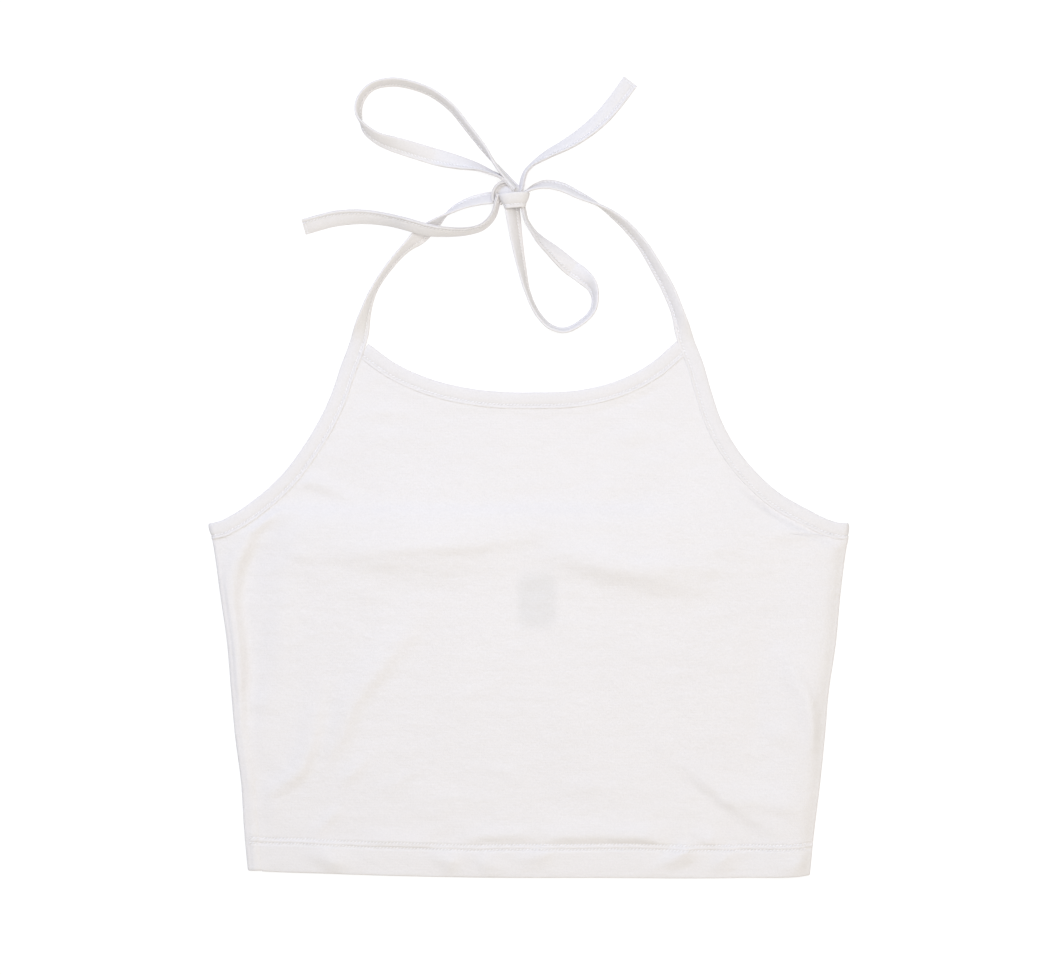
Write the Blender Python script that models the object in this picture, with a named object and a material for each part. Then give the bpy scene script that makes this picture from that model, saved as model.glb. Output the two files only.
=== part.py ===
"""A white cotton-jersey halter-neck crop top, laid flat, with its neck straps tied in a bow.

The body is a tube of two panels that lies flattened on a surface. The front rises above it
as a bib with a scooped neck. Folded binding finishes the neck, the armholes and the top of
the back, and runs on past the armholes as the two neck straps.

X runs across the garment, Y up it towards the straps, and Z up from the surface it lies on.
The tables and lengths are in millimetres, and MM turns them into Blender's metres.
"""

from math import pi, radians

import bmesh
import bpy
import numpy as np

MM = 0.001

# Cloth: single jersey in the panels, turned up once at the hem, and folded binding tape.
PANEL_WALL = 1.1
HEM_WALL = 1.7
HEM_DEPTH = 20.0
BAND_WIDTH = 10.5
BAND_THICK = 2.0
SEAM_GAP = 0.3

# The flattened tube: each side rolls over a soft fold, and its seam lies in from that fold.
FOLD_RADIUS = 1.6
FOLD_STEPS = 6
SEAM_INSET = 9.5
EDGE_BLEND = 26.0
BODY_TOP = -40.0
HEM_LEVEL = -252.0
HEM_STEP = 1.2

FRONT_COLUMNS = 34
BACK_COLUMNS = 10
BODY_STEPS = 18
BAND_STEP = 5.2
STRAIGHT_STEP = 26.0

# Outline of the tube's two side folds. Columns: y, left x, right x.
SIDE_ROWS = (
    (-37.0, -200.6, 201.3),
    (-44.7, -198.9, 200.0),
    (-75.0, -194.4, 196.2),
    (-105.2, -189.9, 193.1),
    (-135.5, -187.4, 188.7),
    (-165.7, -184.9, 186.2),
    (-195.9, -181.1, 183.0),
    (-226.2, -179.2, 179.2),
    (-252.0, -176.9, 176.9),
)

# Lower edge of the hem. Columns: x, y.
HEM_ROWS = (
    (-180.0, -246.8),
    (-161.6, -248.2),
    (-125.7, -249.5),
    (-86.6, -250.7),
    (-27.4, -252.0),
    (38.7, -252.6),
    (135.8, -252.0),
    (172.9, -250.7),
    (180.0, -249.2),
)

# Height of the middle of the front's wall over the surface. The bib lies down, the cloth
# climbs over the back's top binding as a broad ridge and dips below it. Columns: y, z.
FRONT_RISE = (
    (90.0, 0.55),
    (24.0, 0.55),
    (4.0, 0.55),
    (-8.0, 0.95),
    (-20.0, 2.7),
    (-31.0, 4.5),
    (-39.0, 5.0),
    (-48.0, 4.3),
    (-60.0, 3.0),
    (-76.0, 2.6),
    (-100.0, 3.1),
    (-225.0, 3.1),
    (-233.0, 3.7),
    (-256.0, 3.7),
)

# The front's largest creases, as soft ridges, one row for each straight stretch.
# Columns: start x, start y, end x, end y, half width, height.
FRONT_FOLDS = (
    (-160.0, -24.0, -176.0, -46.0, 7.0, 1.2),
    (-70.9, -100.0, -101.0, -135.0, 8.0, 2.2),
    (-101.0, -135.0, -113.0, -164.0, 8.0, 2.2),
    (-113.0, -164.0, -125.0, -178.0, 8.0, 1.6),
    (-128.0, -144.0, -132.6, -173.0, 7.0, 1.5),
    (-132.6, -173.0, -155.0, -198.0, 7.0, 1.5),
    (-101.0, -183.0, -119.4, -198.0, 6.0, 1.1),
    (95.4, -189.0, 124.4, -213.6, 7.0, 1.6),
    (165.4, -126.0, 176.0, -146.0, 7.0, 1.4),
    (132.6, -217.0, 159.0, -228.0, 6.0, 1.3),
    (30.0, -222.0, 88.0, -225.0, 6.0, 1.5),
    (20.0, -51.0, 78.0, -61.0, 8.0, 1.0),
)

# Middle lines of the binding. Columns: x, y, lean, lift. Lean turns the band about its own
# line, in degrees, and raises its left edge. Lift is the height of its lowest edge.
NECK_ROWS = (
    (-101.9, 78.8, 0, 0),
    (-87.4, 68.3, 0, 0),
    (-60.0, 56.3, 0, 0),
    (-31.0, 50.2, 0, 0),
    (4.0, 48.6, 0, 0),
    (35.0, 50.4, 0, 0),
    (61.0, 57.6, 0, 0),
    (80.4, 68.2, 0, 0),
    (94.6, 80.4, 0, 0),
)
# The left strip runs from the side fold up the armhole, past the bib's corner, to the knot.
LEFT_CORNER = 10
LEFT_STRIP_ROWS = (
    (-198.2, -34.0, 0, 3.2),
    (-191.5, -32.9, 0, 3.2),
    (-184.3, -29.2, 0, 2.9),
    (-168.8, -17.4, 0, 0.9),
    (-152.0, -2.2, 0, 0),
    (-137.0, 17.6, 0, 0),
    (-127.9, 32.5, 0, 0),
    (-119.7, 49.8, 0, 0),
    (-112.8, 70.0, 0, 0),
    (-109.3, 79.0, 0, 0),
    (-106.8, 86.4, 6, 0),
    (-103.0, 102.1, 52, 0),
    (-97.6, 117.2, 74, 0),
    (-87.9, 132.3, 74, 0),
    (-75.5, 146.0, 60, 0),
    (-68.0, 152.3, 32, 0),
    (-62.0, 157.2, 20, 0),
    (-56.0, 162.0, 32, 0),
    (-49.0, 167.3, 60, 0),
    (-40.0, 172.4, 65, 0),
    (-30.0, 175.8, 60, 0),
    (-23.5, 176.6, 66, 0),
)
# The right strip does the same, and its strap turns its other face up before the knot.
RIGHT_CORNER = 10
RIGHT_STRIP_ROWS = (
    (198.9, -33.6, 0, 3.2),
    (193.5, -33.2, 0, 3.2),
    (187.4, -31.4, 0, 3.1),
    (174.1, -24.9, 0, 2.6),
    (155.2, -14.0, 0, 0.5),
    (141.3, -1.8, 0, 0),
    (128.3, 13.6, 0, 0),
    (116.2, 35.0, 0, 0),
    (109.8, 53.9, 0, 0),
    (104.4, 72.2, 0, 0),
    (98.7, 87.0, -5, 0),
    (94.4, 102.1, -44, 0),
    (88.5, 117.2, -47, 0),
    (80.3, 132.3, -53, 0),
    (70.9, 147.4, -60, 0),
    (52.0, 166.3, -78, 0),
    (39.4, 173.9, -100, 0),
    (31.2, 177.7, -108, 0),
    (19.8, 182.5, -116, 0),
    (10.4, 184.0, -118, 0),
    (1.4, 179.6, -112, 0),
)
BACK_BINDING_ROWS = (
    (-194.0, -34.0, 0, 0),
    (0.0, -34.1, 0, 0),
    (194.8, -34.0, 0, 0),
)

# The bow, as it lies. Where a band leans far over it stands on its edge.
TAIL_LEFT_ROWS = (
    (-141.4, 157.8, 3, 0),
    (-119.7, 163.2, 10, 0),
    (-100.5, 163.8, 40, 0),
    (-87.0, 161.6, 50, 2.5),
    (-75.0, 158.2, 50, 7.6),
    (-66.5, 155.6, 50, 8.6),
    (-56.0, 153.9, 58, 8.6),
    (-46.0, 153.8, 68, 5.0),
    (-36.9, 155.0, 74, 0.8),
    (-28.7, 157.8, 75, 0),
    (-22.2, 164.6, 76, 0),
    (-19.4, 173.6, 76, 0),
)
TAIL_RIGHT_ROWS = (
    (-5.0, 180.6, -76, 0),
    (-1.4, 192.8, -77, 0),
    (2.2, 196.6, -76, 0),
    (7.2, 200.2, -72, 0),
    (13.5, 204.1, -64, 0),
    (21.4, 208.2, -56, 0),
    (33.4, 215.7, -45, 0),
    (46.3, 226.8, -28, 0),
    (52.9, 234.4, -16, 0),
    (64.3, 249.7, 0, 0),
)
LOOP_LEFT_ROWS = (
    (-9.6, 185.4, -76, 0),
    (-14.2, 190.6, -76, 0),
    (-25.8, 204.1, -75, 0),
    (-37.5, 219.2, -75, 0),
    (-48.8, 233.0, -74, 0),
    (-60.8, 241.9, -73, 0),
    (-72.0, 246.4, -72, 0),
    (-86.0, 248.6, -72, 0),
    (-99.0, 245.3, -74, 0),
    (-106.2, 236.0, -75, 0),
    (-106.6, 227.5, -73, 0),
    (-102.6, 219.6, -66, 0),
    (-94.6, 213.4, -45, 0),
    (-78.0, 207.8, -12, 0),
    (-61.5, 202.9, -16, 0),
    (-42.0, 197.8, -38, 0),
    (-30.6, 194.4, -56, 0),
    (-22.0, 190.4, -70, 0),
)
LOOP_RIGHT_ROWS = (
    (-10.8, 168.4, -57, 0),
    (-7.2, 147.4, -61, 0),
    (-4.4, 132.3, -68, 0),
    (-0.8, 117.2, -76, 0),
    (6.4, 102.1, -76, 0),
    (13.2, 95.2, -75, 0),
    (21.9, 92.6, -74, 0),
    (33.2, 97.6, -74, 0),
    (40.8, 106.0, -74, 0),
    (41.9, 114.0, -70, 0),
    (40.0, 120.6, -52, 0),
    (34.3, 126.8, -22, 0),
    (26.8, 132.4, 4, 0),
    (14.4, 143.4, 40, 0),
    (7.2, 149.8, 60, 0),
    (2.6, 155.4, 75, 0),
    (-1.4, 161.9, 79, 0),
    (-3.0, 168.4, 80, 0),
)
KNOT_ARC_ROWS = (
    (-21.4, 176.2, 84, 0),
    (-21.6, 180.4, 84, 0),
    (-19.4, 184.0, 84, 0),
    (-16.2, 185.8, 84, 0),
    (-13.6, 186.0, 84, 0),
)

# The knot's turn of strap, as a barrel across the strands. Columns: y, middle x, half
# width, height.
KNOT_BAND_ROWS = (
    (169.3, -8.0, 6.4, 10.0),
    (170.6, -8.2, 8.0, 12.0),
    (174.2, -8.6, 8.8, 13.0),
    (177.6, -9.2, 8.7, 13.0),
    (179.2, -9.6, 8.0, 12.2),
    (179.9, -9.8, 7.2, 11.2),
)
# The turn under it, which shows above it. Columns: x, middle y, half width, height.
KNOT_TURN_ROWS = (
    (-17.6, 181.6, 0.9, 7.6),
    (-16.4, 181.9, 1.3, 9.4),
    (-13.0, 182.3, 1.9, 10.6),
    (-9.6, 182.0, 1.7, 10.2),
    (-8.4, 181.8, 1.1, 8.8),
)


def smooth_rows(rows, step, first=0, last=-1, trim=(0.0, 0.0)):
    """Rows read at even steps from a smooth curve through the given ones.

    The first two columns are the place, and the others are carried along with it. A last
    column is added, the heading in radians. First and last name the rows to run between, and
    trim takes a little off each end."""
    knots = np.array(rows, float)
    gaps = np.linalg.norm(np.diff(knots[:, :2], axis=0), axis=1)
    run = np.concatenate([[0.0], np.cumsum(gaps)])
    slopes = np.gradient(knots, run, axis=0)
    at = np.linspace(0.0, run[-1], 30 * len(rows))
    left = np.clip(np.searchsorted(run, at, side="right") - 1, 0, len(rows) - 2)
    span = gaps[left]
    t = ((at - run[left]) / span)[:, None]
    fine = (
        knots[left] * (2 * t**3 - 3 * t**2 + 1)
        + slopes[left] * (t**3 - 2 * t**2 + t) * span[:, None]
        + knots[left + 1] * (3 * t**2 - 2 * t**3)
        + slopes[left + 1] * (t**3 - t**2) * span[:, None]
    )
    length = np.concatenate(
        [[0.0], np.cumsum(np.linalg.norm(np.diff(fine[:, :2], axis=0), axis=1))]
    )
    ahead = np.gradient(fine[:, :2], axis=0)
    heading = np.unwrap(np.arctan2(ahead[:, 1], ahead[:, 0]))
    fine = np.column_stack([fine, heading])
    start = np.interp(run[first], at, length) + trim[0]
    end = np.interp(run[last], at, length) - trim[1]
    wanted = np.linspace(start, end, max(3, round((end - start) / step) + 1))
    return np.stack([np.interp(wanted, length, column) for column in fine.T], axis=1)


def blend(t):
    """Rises smoothly from 0 to 1 as t does."""
    t = np.clip(t, 0.0, 1.0)
    return t * t * (3 - 2 * t)


def read_table(rows, at):
    """The second column of a table at a value of its first, through a smooth curve."""
    fine = smooth_rows(rows, 2.0)
    fine = fine[np.argsort(fine[:, 0])]
    return float(np.interp(at, fine[:, 0], fine[:, 1]))


def offset_line(rows, distance):
    """The line at this distance to the left of a band's middle line."""
    line = smooth_rows(rows, 1.5)
    heading = line[:, -1]
    return line[:, :2] + distance * np.column_stack([-np.sin(heading), np.cos(heading)])


SIDE_FINE = smooth_rows([(y, left, right) for y, left, right in SIDE_ROWS], 2.0)[::-1]
CLOTH_EDGE = BAND_WIDTH / 2 + SEAM_GAP
CURVE_ROOM = 0.35
ARM_EDGE_LEFT = offset_line(LEFT_STRIP_ROWS[: LEFT_CORNER + 1], -CLOTH_EDGE - CURVE_ROOM)
ARM_EDGE_RIGHT = offset_line(RIGHT_STRIP_ROWS[: RIGHT_CORNER + 1], CLOTH_EDGE + CURVE_ROOM)
NECK_EDGE = offset_line(NECK_ROWS, -CLOTH_EDGE)


def side_x(y, right):
    """Outermost x of the side fold at this height of the garment."""
    order = np.argsort(SIDE_FINE[:, 0])
    return float(np.interp(y, SIDE_FINE[order, 0], SIDE_FINE[order, 2 if right else 1]))


def arm_edge_x(y, right):
    """Where the bib's cloth meets the armhole binding."""
    line = ARM_EDGE_RIGHT if right else ARM_EDGE_LEFT
    order = np.argsort(line[:, 1])
    return float(np.interp(y, line[order, 1], line[order, 0]))


def wall_at(above_hem):
    """Wall of a panel: the hem is turned up once, so it is thicker."""
    return HEM_WALL if above_hem < HEM_DEPTH else PANEL_WALL


def hem_shift(x, level):
    """How far a row moves to follow the hem's curve, fading out at the top of the tube."""
    share = 1 - (level - HEM_LEVEL) / (BODY_TOP - HEM_LEVEL)
    return (read_table(HEM_ROWS, x) - HEM_LEVEL) * share


def fold_height(x, y):
    """Height that the creases add to the front at this point."""
    tallest = 0.0
    for x0, y0, x1, y1, half_width, height in FRONT_FOLDS:
        run = np.array([x1 - x0, y1 - y0])
        t = np.clip(np.dot([x - x0, y - y0], run) / np.dot(run, run), 0.0, 1.0)
        away = np.hypot(x - x0 - t * run[0], y - y0 - t * run[1])
        tallest = max(tallest, height * np.exp(-((away / half_width) ** 2)))
    return tallest


def front_height(x, y, wall):
    """Middle of the front's wall: the table's rise and the creases, level with the side folds."""
    fold_top = wall / 2 + 2 * FOLD_RADIUS
    height = max(read_table(FRONT_RISE, y), wall / 2) + fold_height(x, y)
    to_side = min(x - side_x(y, False) - SEAM_INSET, side_x(y, True) - FOLD_RADIUS - x)
    near = blend(1 - to_side / EDGE_BLEND) * blend((-12.0 - y) / 24.0)
    return height + (fold_top - height) * near


def side_fold(centre_x, outward, wall, tuck_x):
    """Points (x, z) round a side fold from its top to its underside, then in to tuck_x."""
    centre_z = wall / 2 + FOLD_RADIUS
    turns = [pi * k / FOLD_STEPS for k in range(1, FOLD_STEPS + 1)]
    points = [
        (centre_x + outward * FOLD_RADIUS * np.sin(a), centre_z + FOLD_RADIUS * np.cos(a))
        for a in turns
    ]
    return points + [(tuck_x, wall / 2)]


def body_levels(steps):
    """Heights of the tube's rows above its hem level: the hem, then even steps to the top."""
    top = BODY_TOP - HEM_LEVEL
    hem = [0.0, HEM_DEPTH / 2, HEM_DEPTH - HEM_STEP / 2, HEM_DEPTH + HEM_STEP / 2]
    return hem + list(np.linspace(HEM_DEPTH, top, steps + 1)[1:])


def add_material(obj, colour, roughness):
    material = bpy.data.materials.new(obj.name + "_cloth")
    material.use_nodes = True
    shader = material.node_tree.nodes["Principled BSDF"]
    shader.inputs["Base Color"].default_value = (*colour, 1.0)
    shader.inputs["Roughness"].default_value = roughness
    shader.inputs["Metallic"].default_value = 0.0
    obj.data.materials.append(material)


JERSEY = ((0.84, 0.84, 0.85), 0.9)
BINDING = ((0.82, 0.82, 0.84), 0.85)


def add_mesh(name, build, finish):
    """A named object whose mesh is filled by build(bm)."""
    mesh = bpy.data.meshes.new(name)
    bm = bmesh.new()
    build(bm)
    bm.to_mesh(mesh)
    bm.free()
    obj = bpy.data.objects.new(name, mesh)
    bpy.context.scene.collection.objects.link(obj)
    mesh.shade_smooth()
    mesh.set_sharp_from_angle(angle=radians(50))
    add_material(obj, *finish)
    return obj


def panel(name, rows):
    """A panel of cloth from rows of (x, y, z, wall), the middle of its wall.

    Rows that are shorter than the tube's stop where the tube's side fold begins."""

    def build(bm):
        verts = [[bm.verts.new((x * MM, y * MM, z * MM)) for x, y, z, _ in row] for row in rows]
        for low, high in zip(verts, verts[1:]):
            for k in range(min(len(low), len(high)) - 1):
                bm.faces.new((low[k], low[k + 1], high[k + 1], high[k]))

    obj = add_mesh(name, build, JERSEY)
    walls = [wall for row in rows for _, _, _, wall in row]
    group = obj.vertex_groups.new(name="wall")
    for index, wall in enumerate(walls):
        group.add([index], wall / HEM_WALL, "REPLACE")
    solid = obj.modifiers.new("wall", "SOLIDIFY")
    solid.thickness = HEM_WALL * MM
    solid.offset = 0.0
    solid.vertex_group = "wall"
    return obj


def front_rows():
    """The tube's front with its right side fold, then the bib up to the neck binding."""
    rows = []
    across = np.linspace(0.0, 1.0, FRONT_COLUMNS + 1)
    for above in body_levels(BODY_STEPS):
        level = HEM_LEVEL + above
        wall = wall_at(above)
        left = side_x(level, False) + SEAM_INSET + SEAM_GAP / 2
        right = side_x(level, True) - wall / 2 - FOLD_RADIUS
        tuck = side_x(level, True) - SEAM_INSET + SEAM_GAP / 2
        points = [left + (right - left) * u for u in across]
        row = []
        for x in points:
            y = level + hem_shift(x, level)
            row.append((x, y, front_height(x, y, wall), wall))
        y = row[-1][1]
        row[-1] = (right, y, wall / 2 + 2 * FOLD_RADIUS, wall)
        row += [(x, y, z, wall) for x, z in side_fold(right, 1, wall, tuck)]
        rows.append(row)

    seam_x = side_x(BODY_TOP, False) + SEAM_INSET + SEAM_GAP / 2
    fold_x = side_x(BODY_TOP, True) - PANEL_WALL / 2 - FOLD_RADIUS
    tops = (NECK_EDGE[0][1], NECK_EDGE[-1][1])
    corners = (arm_edge_x(tops[0], False), arm_edge_x(tops[1], True))
    order = np.argsort(NECK_EDGE[:, 0])
    top_x = corners[0] + (corners[1] - corners[0]) * across
    top_y = np.interp(top_x, NECK_EDGE[order, 0], NECK_EDGE[order, 1])
    chord = tops[0] + (tops[1] - tops[0]) * across
    for share in (0.03, 0.07, 0.12, 0.18, 0.25, 0.33, 0.42, 0.51, 0.6, 0.7, 0.8, 0.9, 1.0):
        left_y = BODY_TOP + (tops[0] - BODY_TOP) * share
        right_y = BODY_TOP + (tops[1] - BODY_TOP) * share
        left = max(arm_edge_x(left_y, False), seam_x)
        right = min(arm_edge_x(right_y, True), fold_x)
        scoop = blend((share - 0.15) / 0.85)
        row = []
        for u, fall in zip(across, chord - top_y):
            x = left + (right - left) * u
            y = left_y + (right_y - left_y) * u - fall * scoop
            row.append((x, y, front_height(x, y, PANEL_WALL), PANEL_WALL))
        rows.append(row)
    return rows


def back_rows():
    """The tube's back: flat on the surface, with the left side fold rolled over its top."""
    rows = []
    for above in body_levels(BODY_STEPS):
        level = HEM_LEVEL + above
        wall = wall_at(above)
        left = side_x(level, False) + wall / 2 + FOLD_RADIUS
        right = side_x(level, True) - SEAM_INSET - SEAM_GAP / 2
        row = []
        for x in np.linspace(right, left, BACK_COLUMNS + 1):
            row.append((x, level + hem_shift(x, level), wall / 2, wall))
        y = row[-1][1]
        seam = side_x(level, False) + SEAM_INSET - SEAM_GAP / 2
        rolled = side_fold(left, -1, wall, seam)
        row += [(x, y, wall + 2 * FOLD_RADIUS - z, wall) for x, z in rolled]
        rows.append(row)
    return rows


def band_section(width, thick):
    """Outline of a folded tape: a flat bar with its corners taken off."""
    a, b, cut = width / 2, thick / 2, 0.3 * thick
    return (
        (a, b - cut), (a - cut, b), (cut - a, b), (-a, b - cut),
        (-a, cut - b), (cut - a, -b), (a - cut, -b), (a, cut - b),
    )


def loft(bm, rings):
    """Skins closed rings of points in order and caps both ends."""
    verts = [[bm.verts.new([value * MM for value in point]) for point in ring] for ring in rings]
    for low, high in zip(verts, verts[1:]):
        for k in range(len(low)):
            j = (k + 1) % len(low)
            bm.faces.new((low[k], low[j], high[j], high[k]))
    bm.faces.new(verts[0][::-1])
    bm.faces.new(verts[-1])
    bmesh.ops.recalc_face_normals(bm, faces=bm.faces)


def fold_under(points, headings, tuck):
    """Adds to a band's line a half turn over the garment's side and a short run below it."""
    last = points[-1]
    ahead = np.array([np.cos(headings[-1]), np.sin(headings[-1]), 0.0])
    down = np.array([0.0, 0.0, -1.0])
    turn = [pi * k / FOLD_STEPS for k in range(1, FOLD_STEPS + 1)]
    centre = last + down * FOLD_RADIUS
    arc = [centre + FOLD_RADIUS * (ahead * np.sin(a) - down * np.cos(a)) for a in turn]
    arc.append(arc[-1] - ahead * tuck)
    return np.vstack([points, arc]), np.append(headings, [headings[-1]] * len(arc))


def band(name, path, skew=(0.0, 0.0), tuck=0.0):
    """A stretch of binding or strap along a path of rows.

    Skew cuts the start and the end at an angle in degrees, and tuck folds the end under."""
    lean = np.radians(path[:, 2])
    rest = np.abs(np.sin(lean)) * BAND_WIDTH / 2 + np.abs(np.cos(lean)) * BAND_THICK / 2
    points = np.column_stack([path[:, :2], np.maximum(path[:, 3], 0.0) + rest])
    headings = path[:, 4]
    if tuck:
        points, headings = fold_under(points, headings, tuck)
        lean = np.append(lean, [0.0] * (len(points) - len(lean)))
    along = np.gradient(points, axis=0)
    level = np.linalg.norm(along[: len(path), :2], axis=1)[:, None]
    along[: len(path), :2] = level * np.column_stack([np.cos(path[:, 4]), np.sin(path[:, 4])])
    along /= np.linalg.norm(along, axis=1)[:, None]
    slant = np.zeros(len(points))
    slant[:3] = np.tan(radians(skew[0])) * np.array([1.0, 0.6, 0.25])
    slant[-3:] += np.tan(radians(skew[1])) * np.array([0.25, 0.6, 1.0])

    rings = []
    for point, t, h, turn, cut in zip(points, along, headings, lean, slant):
        side = np.array([-np.sin(h), np.cos(h), 0.0])
        side -= np.dot(side, t) * t
        side /= np.linalg.norm(side)
        up = np.cross(t, side)
        wide = side * np.cos(turn) + up * np.sin(turn)
        thin = up * np.cos(turn) - side * np.sin(turn)
        rings.append(
            [point + (wide + t * cut) * a + thin * b for a, b in band_section(BAND_WIDTH, BAND_THICK)]
        )
    return add_mesh(name, lambda bm: loft(bm, rings), BINDING)


def lump(name, rows, along_x):
    """A short rolled piece of the knot, from rows of place, middle, half width and height."""
    sides = 14
    rings = []
    for place, middle, half_width, height in rows:
        ring = []
        for k in range(sides):
            a = 2 * pi * (k + 0.5) / sides
            across = middle + half_width * np.sign(np.cos(a)) * abs(np.cos(a)) ** 0.8
            up = height / 2 * (1 + np.sign(np.sin(a)) * abs(np.sin(a)) ** 0.8)
            ring.append((place, across, up) if along_x else (across, place, up))
        lowest = min(point[2] for point in ring)
        rings.append([(x, y, z - lowest) for x, y, z in ring])
    return add_mesh(name, lambda bm: loft(bm, rings), BINDING)


def main():
    for obj in list(bpy.data.objects):
        bpy.data.objects.remove(obj, do_unlink=True)

    panel("front", front_rows())
    panel("back", back_rows())
    band("neck_binding", smooth_rows(NECK_ROWS, BAND_STEP), skew=(0.0, 18.0))
    band("back_binding", smooth_rows(BACK_BINDING_ROWS, STRAIGHT_STEP))
    for side, rows, corner in (
        ("left", LEFT_STRIP_ROWS, LEFT_CORNER),
        ("right", RIGHT_STRIP_ROWS, RIGHT_CORNER),
    ):
        half_gap = SEAM_GAP / 2
        armhole = smooth_rows(rows, BAND_STEP, last=corner, trim=(0.0, half_gap))[::-1]
        armhole[:, 2] *= -1
        armhole[:, 4] += pi
        band("armhole_binding_" + side, armhole, tuck=2.0)
        strap = smooth_rows(rows, BAND_STEP, first=corner, trim=(half_gap, 0.0))
        band("strap_" + side, strap)
    band("tail_left", smooth_rows(TAIL_LEFT_ROWS, BAND_STEP))
    band("tail_right", smooth_rows(TAIL_RIGHT_ROWS, BAND_STEP))
    band("loop_upper_left", smooth_rows(LOOP_LEFT_ROWS, BAND_STEP))
    band("loop_lower_right", smooth_rows(LOOP_RIGHT_ROWS, BAND_STEP))
    band("knot_arc", smooth_rows(KNOT_ARC_ROWS, BAND_STEP / 2))
    lump("knot_band", KNOT_BAND_ROWS, along_x=False)
    lump("knot_turn", KNOT_TURN_ROWS, along_x=True)


main()
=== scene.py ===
# %% [markdown]
# # A halter-neck crop top in white jersey, laid flat
#
# The object is a white cotton-jersey crop top that lies on a pale surface and is seen from
# straight above. Its body is a tube of two panels. The front rises above the tube as a bib
# with a scooped neck, and folded tape binds every edge and runs on as two neck straps that
# are tied in a bow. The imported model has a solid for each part. This script puts a
# real-looking piece of cloth over each of them, in the same place.

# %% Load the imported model
from math import pi, radians

import bpy
import numpy as np
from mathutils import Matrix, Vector, noise


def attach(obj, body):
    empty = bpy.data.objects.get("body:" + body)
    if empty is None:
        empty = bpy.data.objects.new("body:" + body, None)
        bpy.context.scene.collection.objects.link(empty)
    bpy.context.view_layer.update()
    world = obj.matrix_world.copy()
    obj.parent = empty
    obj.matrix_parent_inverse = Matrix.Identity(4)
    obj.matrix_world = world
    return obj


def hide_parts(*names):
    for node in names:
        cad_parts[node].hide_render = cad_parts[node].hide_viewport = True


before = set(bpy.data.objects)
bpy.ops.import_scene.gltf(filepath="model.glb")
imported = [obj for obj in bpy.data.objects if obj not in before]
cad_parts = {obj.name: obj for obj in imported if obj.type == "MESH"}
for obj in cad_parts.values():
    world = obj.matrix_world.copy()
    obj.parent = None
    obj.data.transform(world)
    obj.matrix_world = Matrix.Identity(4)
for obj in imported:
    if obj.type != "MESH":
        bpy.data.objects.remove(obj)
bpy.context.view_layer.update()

MM = 0.001

# %% [markdown]
# ## The camera
#
# The photo looks straight down, so the garment's outline has no perspective and its lower edge
# is parallel to the picture's. A long lens high above the middle of the photo does the same.
# One pixel of the photo is 0.63 mm, and the picture's centre is a few millimetres below the
# model's origin. A camera that isn't turned looks down with +Y up in the picture.

# %% Set up the camera
PHOTO_WIDTH, PHOTO_HEIGHT = 1055, 975
PHOTO_PIXEL = 0.63 * MM
PHOTO_CENTRE = (-0.63 * MM, -5.985 * MM)
LENS, SENSOR = 85.0, 36.0

frame_width = PHOTO_WIDTH * PHOTO_PIXEL
camera_height = frame_width * LENS / SENSOR
bpy.ops.object.camera_add(location=(*PHOTO_CENTRE, camera_height), rotation=(0, 0, 0))
camera = bpy.context.object
camera.name = "overhead_camera"
camera.data.lens = LENS
camera.data.sensor_width = SENSOR
camera.data.clip_end = 20.0
bpy.context.scene.camera = camera
print("camera is", round(camera_height, 3), "m above the surface")

# %% [markdown]
# ## Curves through short tables
#
# Cloth edges and straps run along soft curves. A curve is kept here as a short table of places
# that it passes through, with what changes along it, such as how far a strap leans. One
# function reads such a table at even steps, so a few rows give as fine a line as is wanted.

# %% Read a table at even steps
def smooth_rows(rows, step, first=0, last=-1, trim=(0.0, 0.0)):
    """Rows read at even steps from a smooth curve through the given ones.

    The first two columns are the place. A last column is added, the heading in radians."""
    knots = np.array(rows, float)
    gaps = np.linalg.norm(np.diff(knots[:, :2], axis=0), axis=1)
    run = np.concatenate([[0.0], np.cumsum(gaps)])
    slopes = np.gradient(knots, run, axis=0)
    at = np.linspace(0.0, run[-1], 30 * len(rows))
    left = np.clip(np.searchsorted(run, at, side="right") - 1, 0, len(rows) - 2)
    span = gaps[left]
    t = ((at - run[left]) / span)[:, None]
    fine = (
        knots[left] * (2 * t**3 - 3 * t**2 + 1)
        + slopes[left] * (t**3 - 2 * t**2 + t) * span[:, None]
        + knots[left + 1] * (3 * t**2 - 2 * t**3)
        + slopes[left + 1] * (t**3 - t**2) * span[:, None]
    )
    steps = np.linalg.norm(np.diff(fine[:, :2], axis=0), axis=1)
    length = np.concatenate([[0.0], np.cumsum(steps)])
    ahead = np.gradient(fine[:, :2], axis=0)
    heading = np.unwrap(np.arctan2(ahead[:, 1], ahead[:, 0]))
    fine = np.column_stack([fine, heading])
    start = np.interp(run[first], at, length) + trim[0]
    end = np.interp(run[last], at, length) - trim[1]
    wanted = np.linspace(start, end, max(3, round((end - start) / step) + 1))
    return np.stack([np.interp(wanted, length, column) for column in fine.T], axis=1)


def blend(t):
    """Rises smoothly from 0 to 1 as t does."""
    t = np.clip(t, 0.0, 1.0)
    return t * t * (3 - 2 * t)


def read_table(rows, at):
    """The second column of a table, through a smooth curve, where the first has these values."""
    fine = smooth_rows(rows, 1.0)
    fine = fine[np.argsort(fine[:, 0])]
    return np.interp(at, fine[:, 0], fine[:, 1])


def uneven(x, y, across, up, seed):
    """Soft random height from -1 to 1, the same on each run, with waves of these sizes."""
    x, y = np.broadcast_arrays(x, y)
    places = zip((x / across).flat, (y / up).flat)
    values = [noise.noise(Vector((a, b, seed))) for a, b in places]
    return np.array(values).reshape(x.shape)


# %% [markdown]
# ## The outline, as the photo shows it
#
# These tables hold the garment's own lines in millimetres: the side folds of the tube, the
# hem, and the middle lines of the binding tape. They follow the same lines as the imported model,
# and a few ends are a millimetre or two nearer to the photo, so each new piece lands on its solid.

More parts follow.
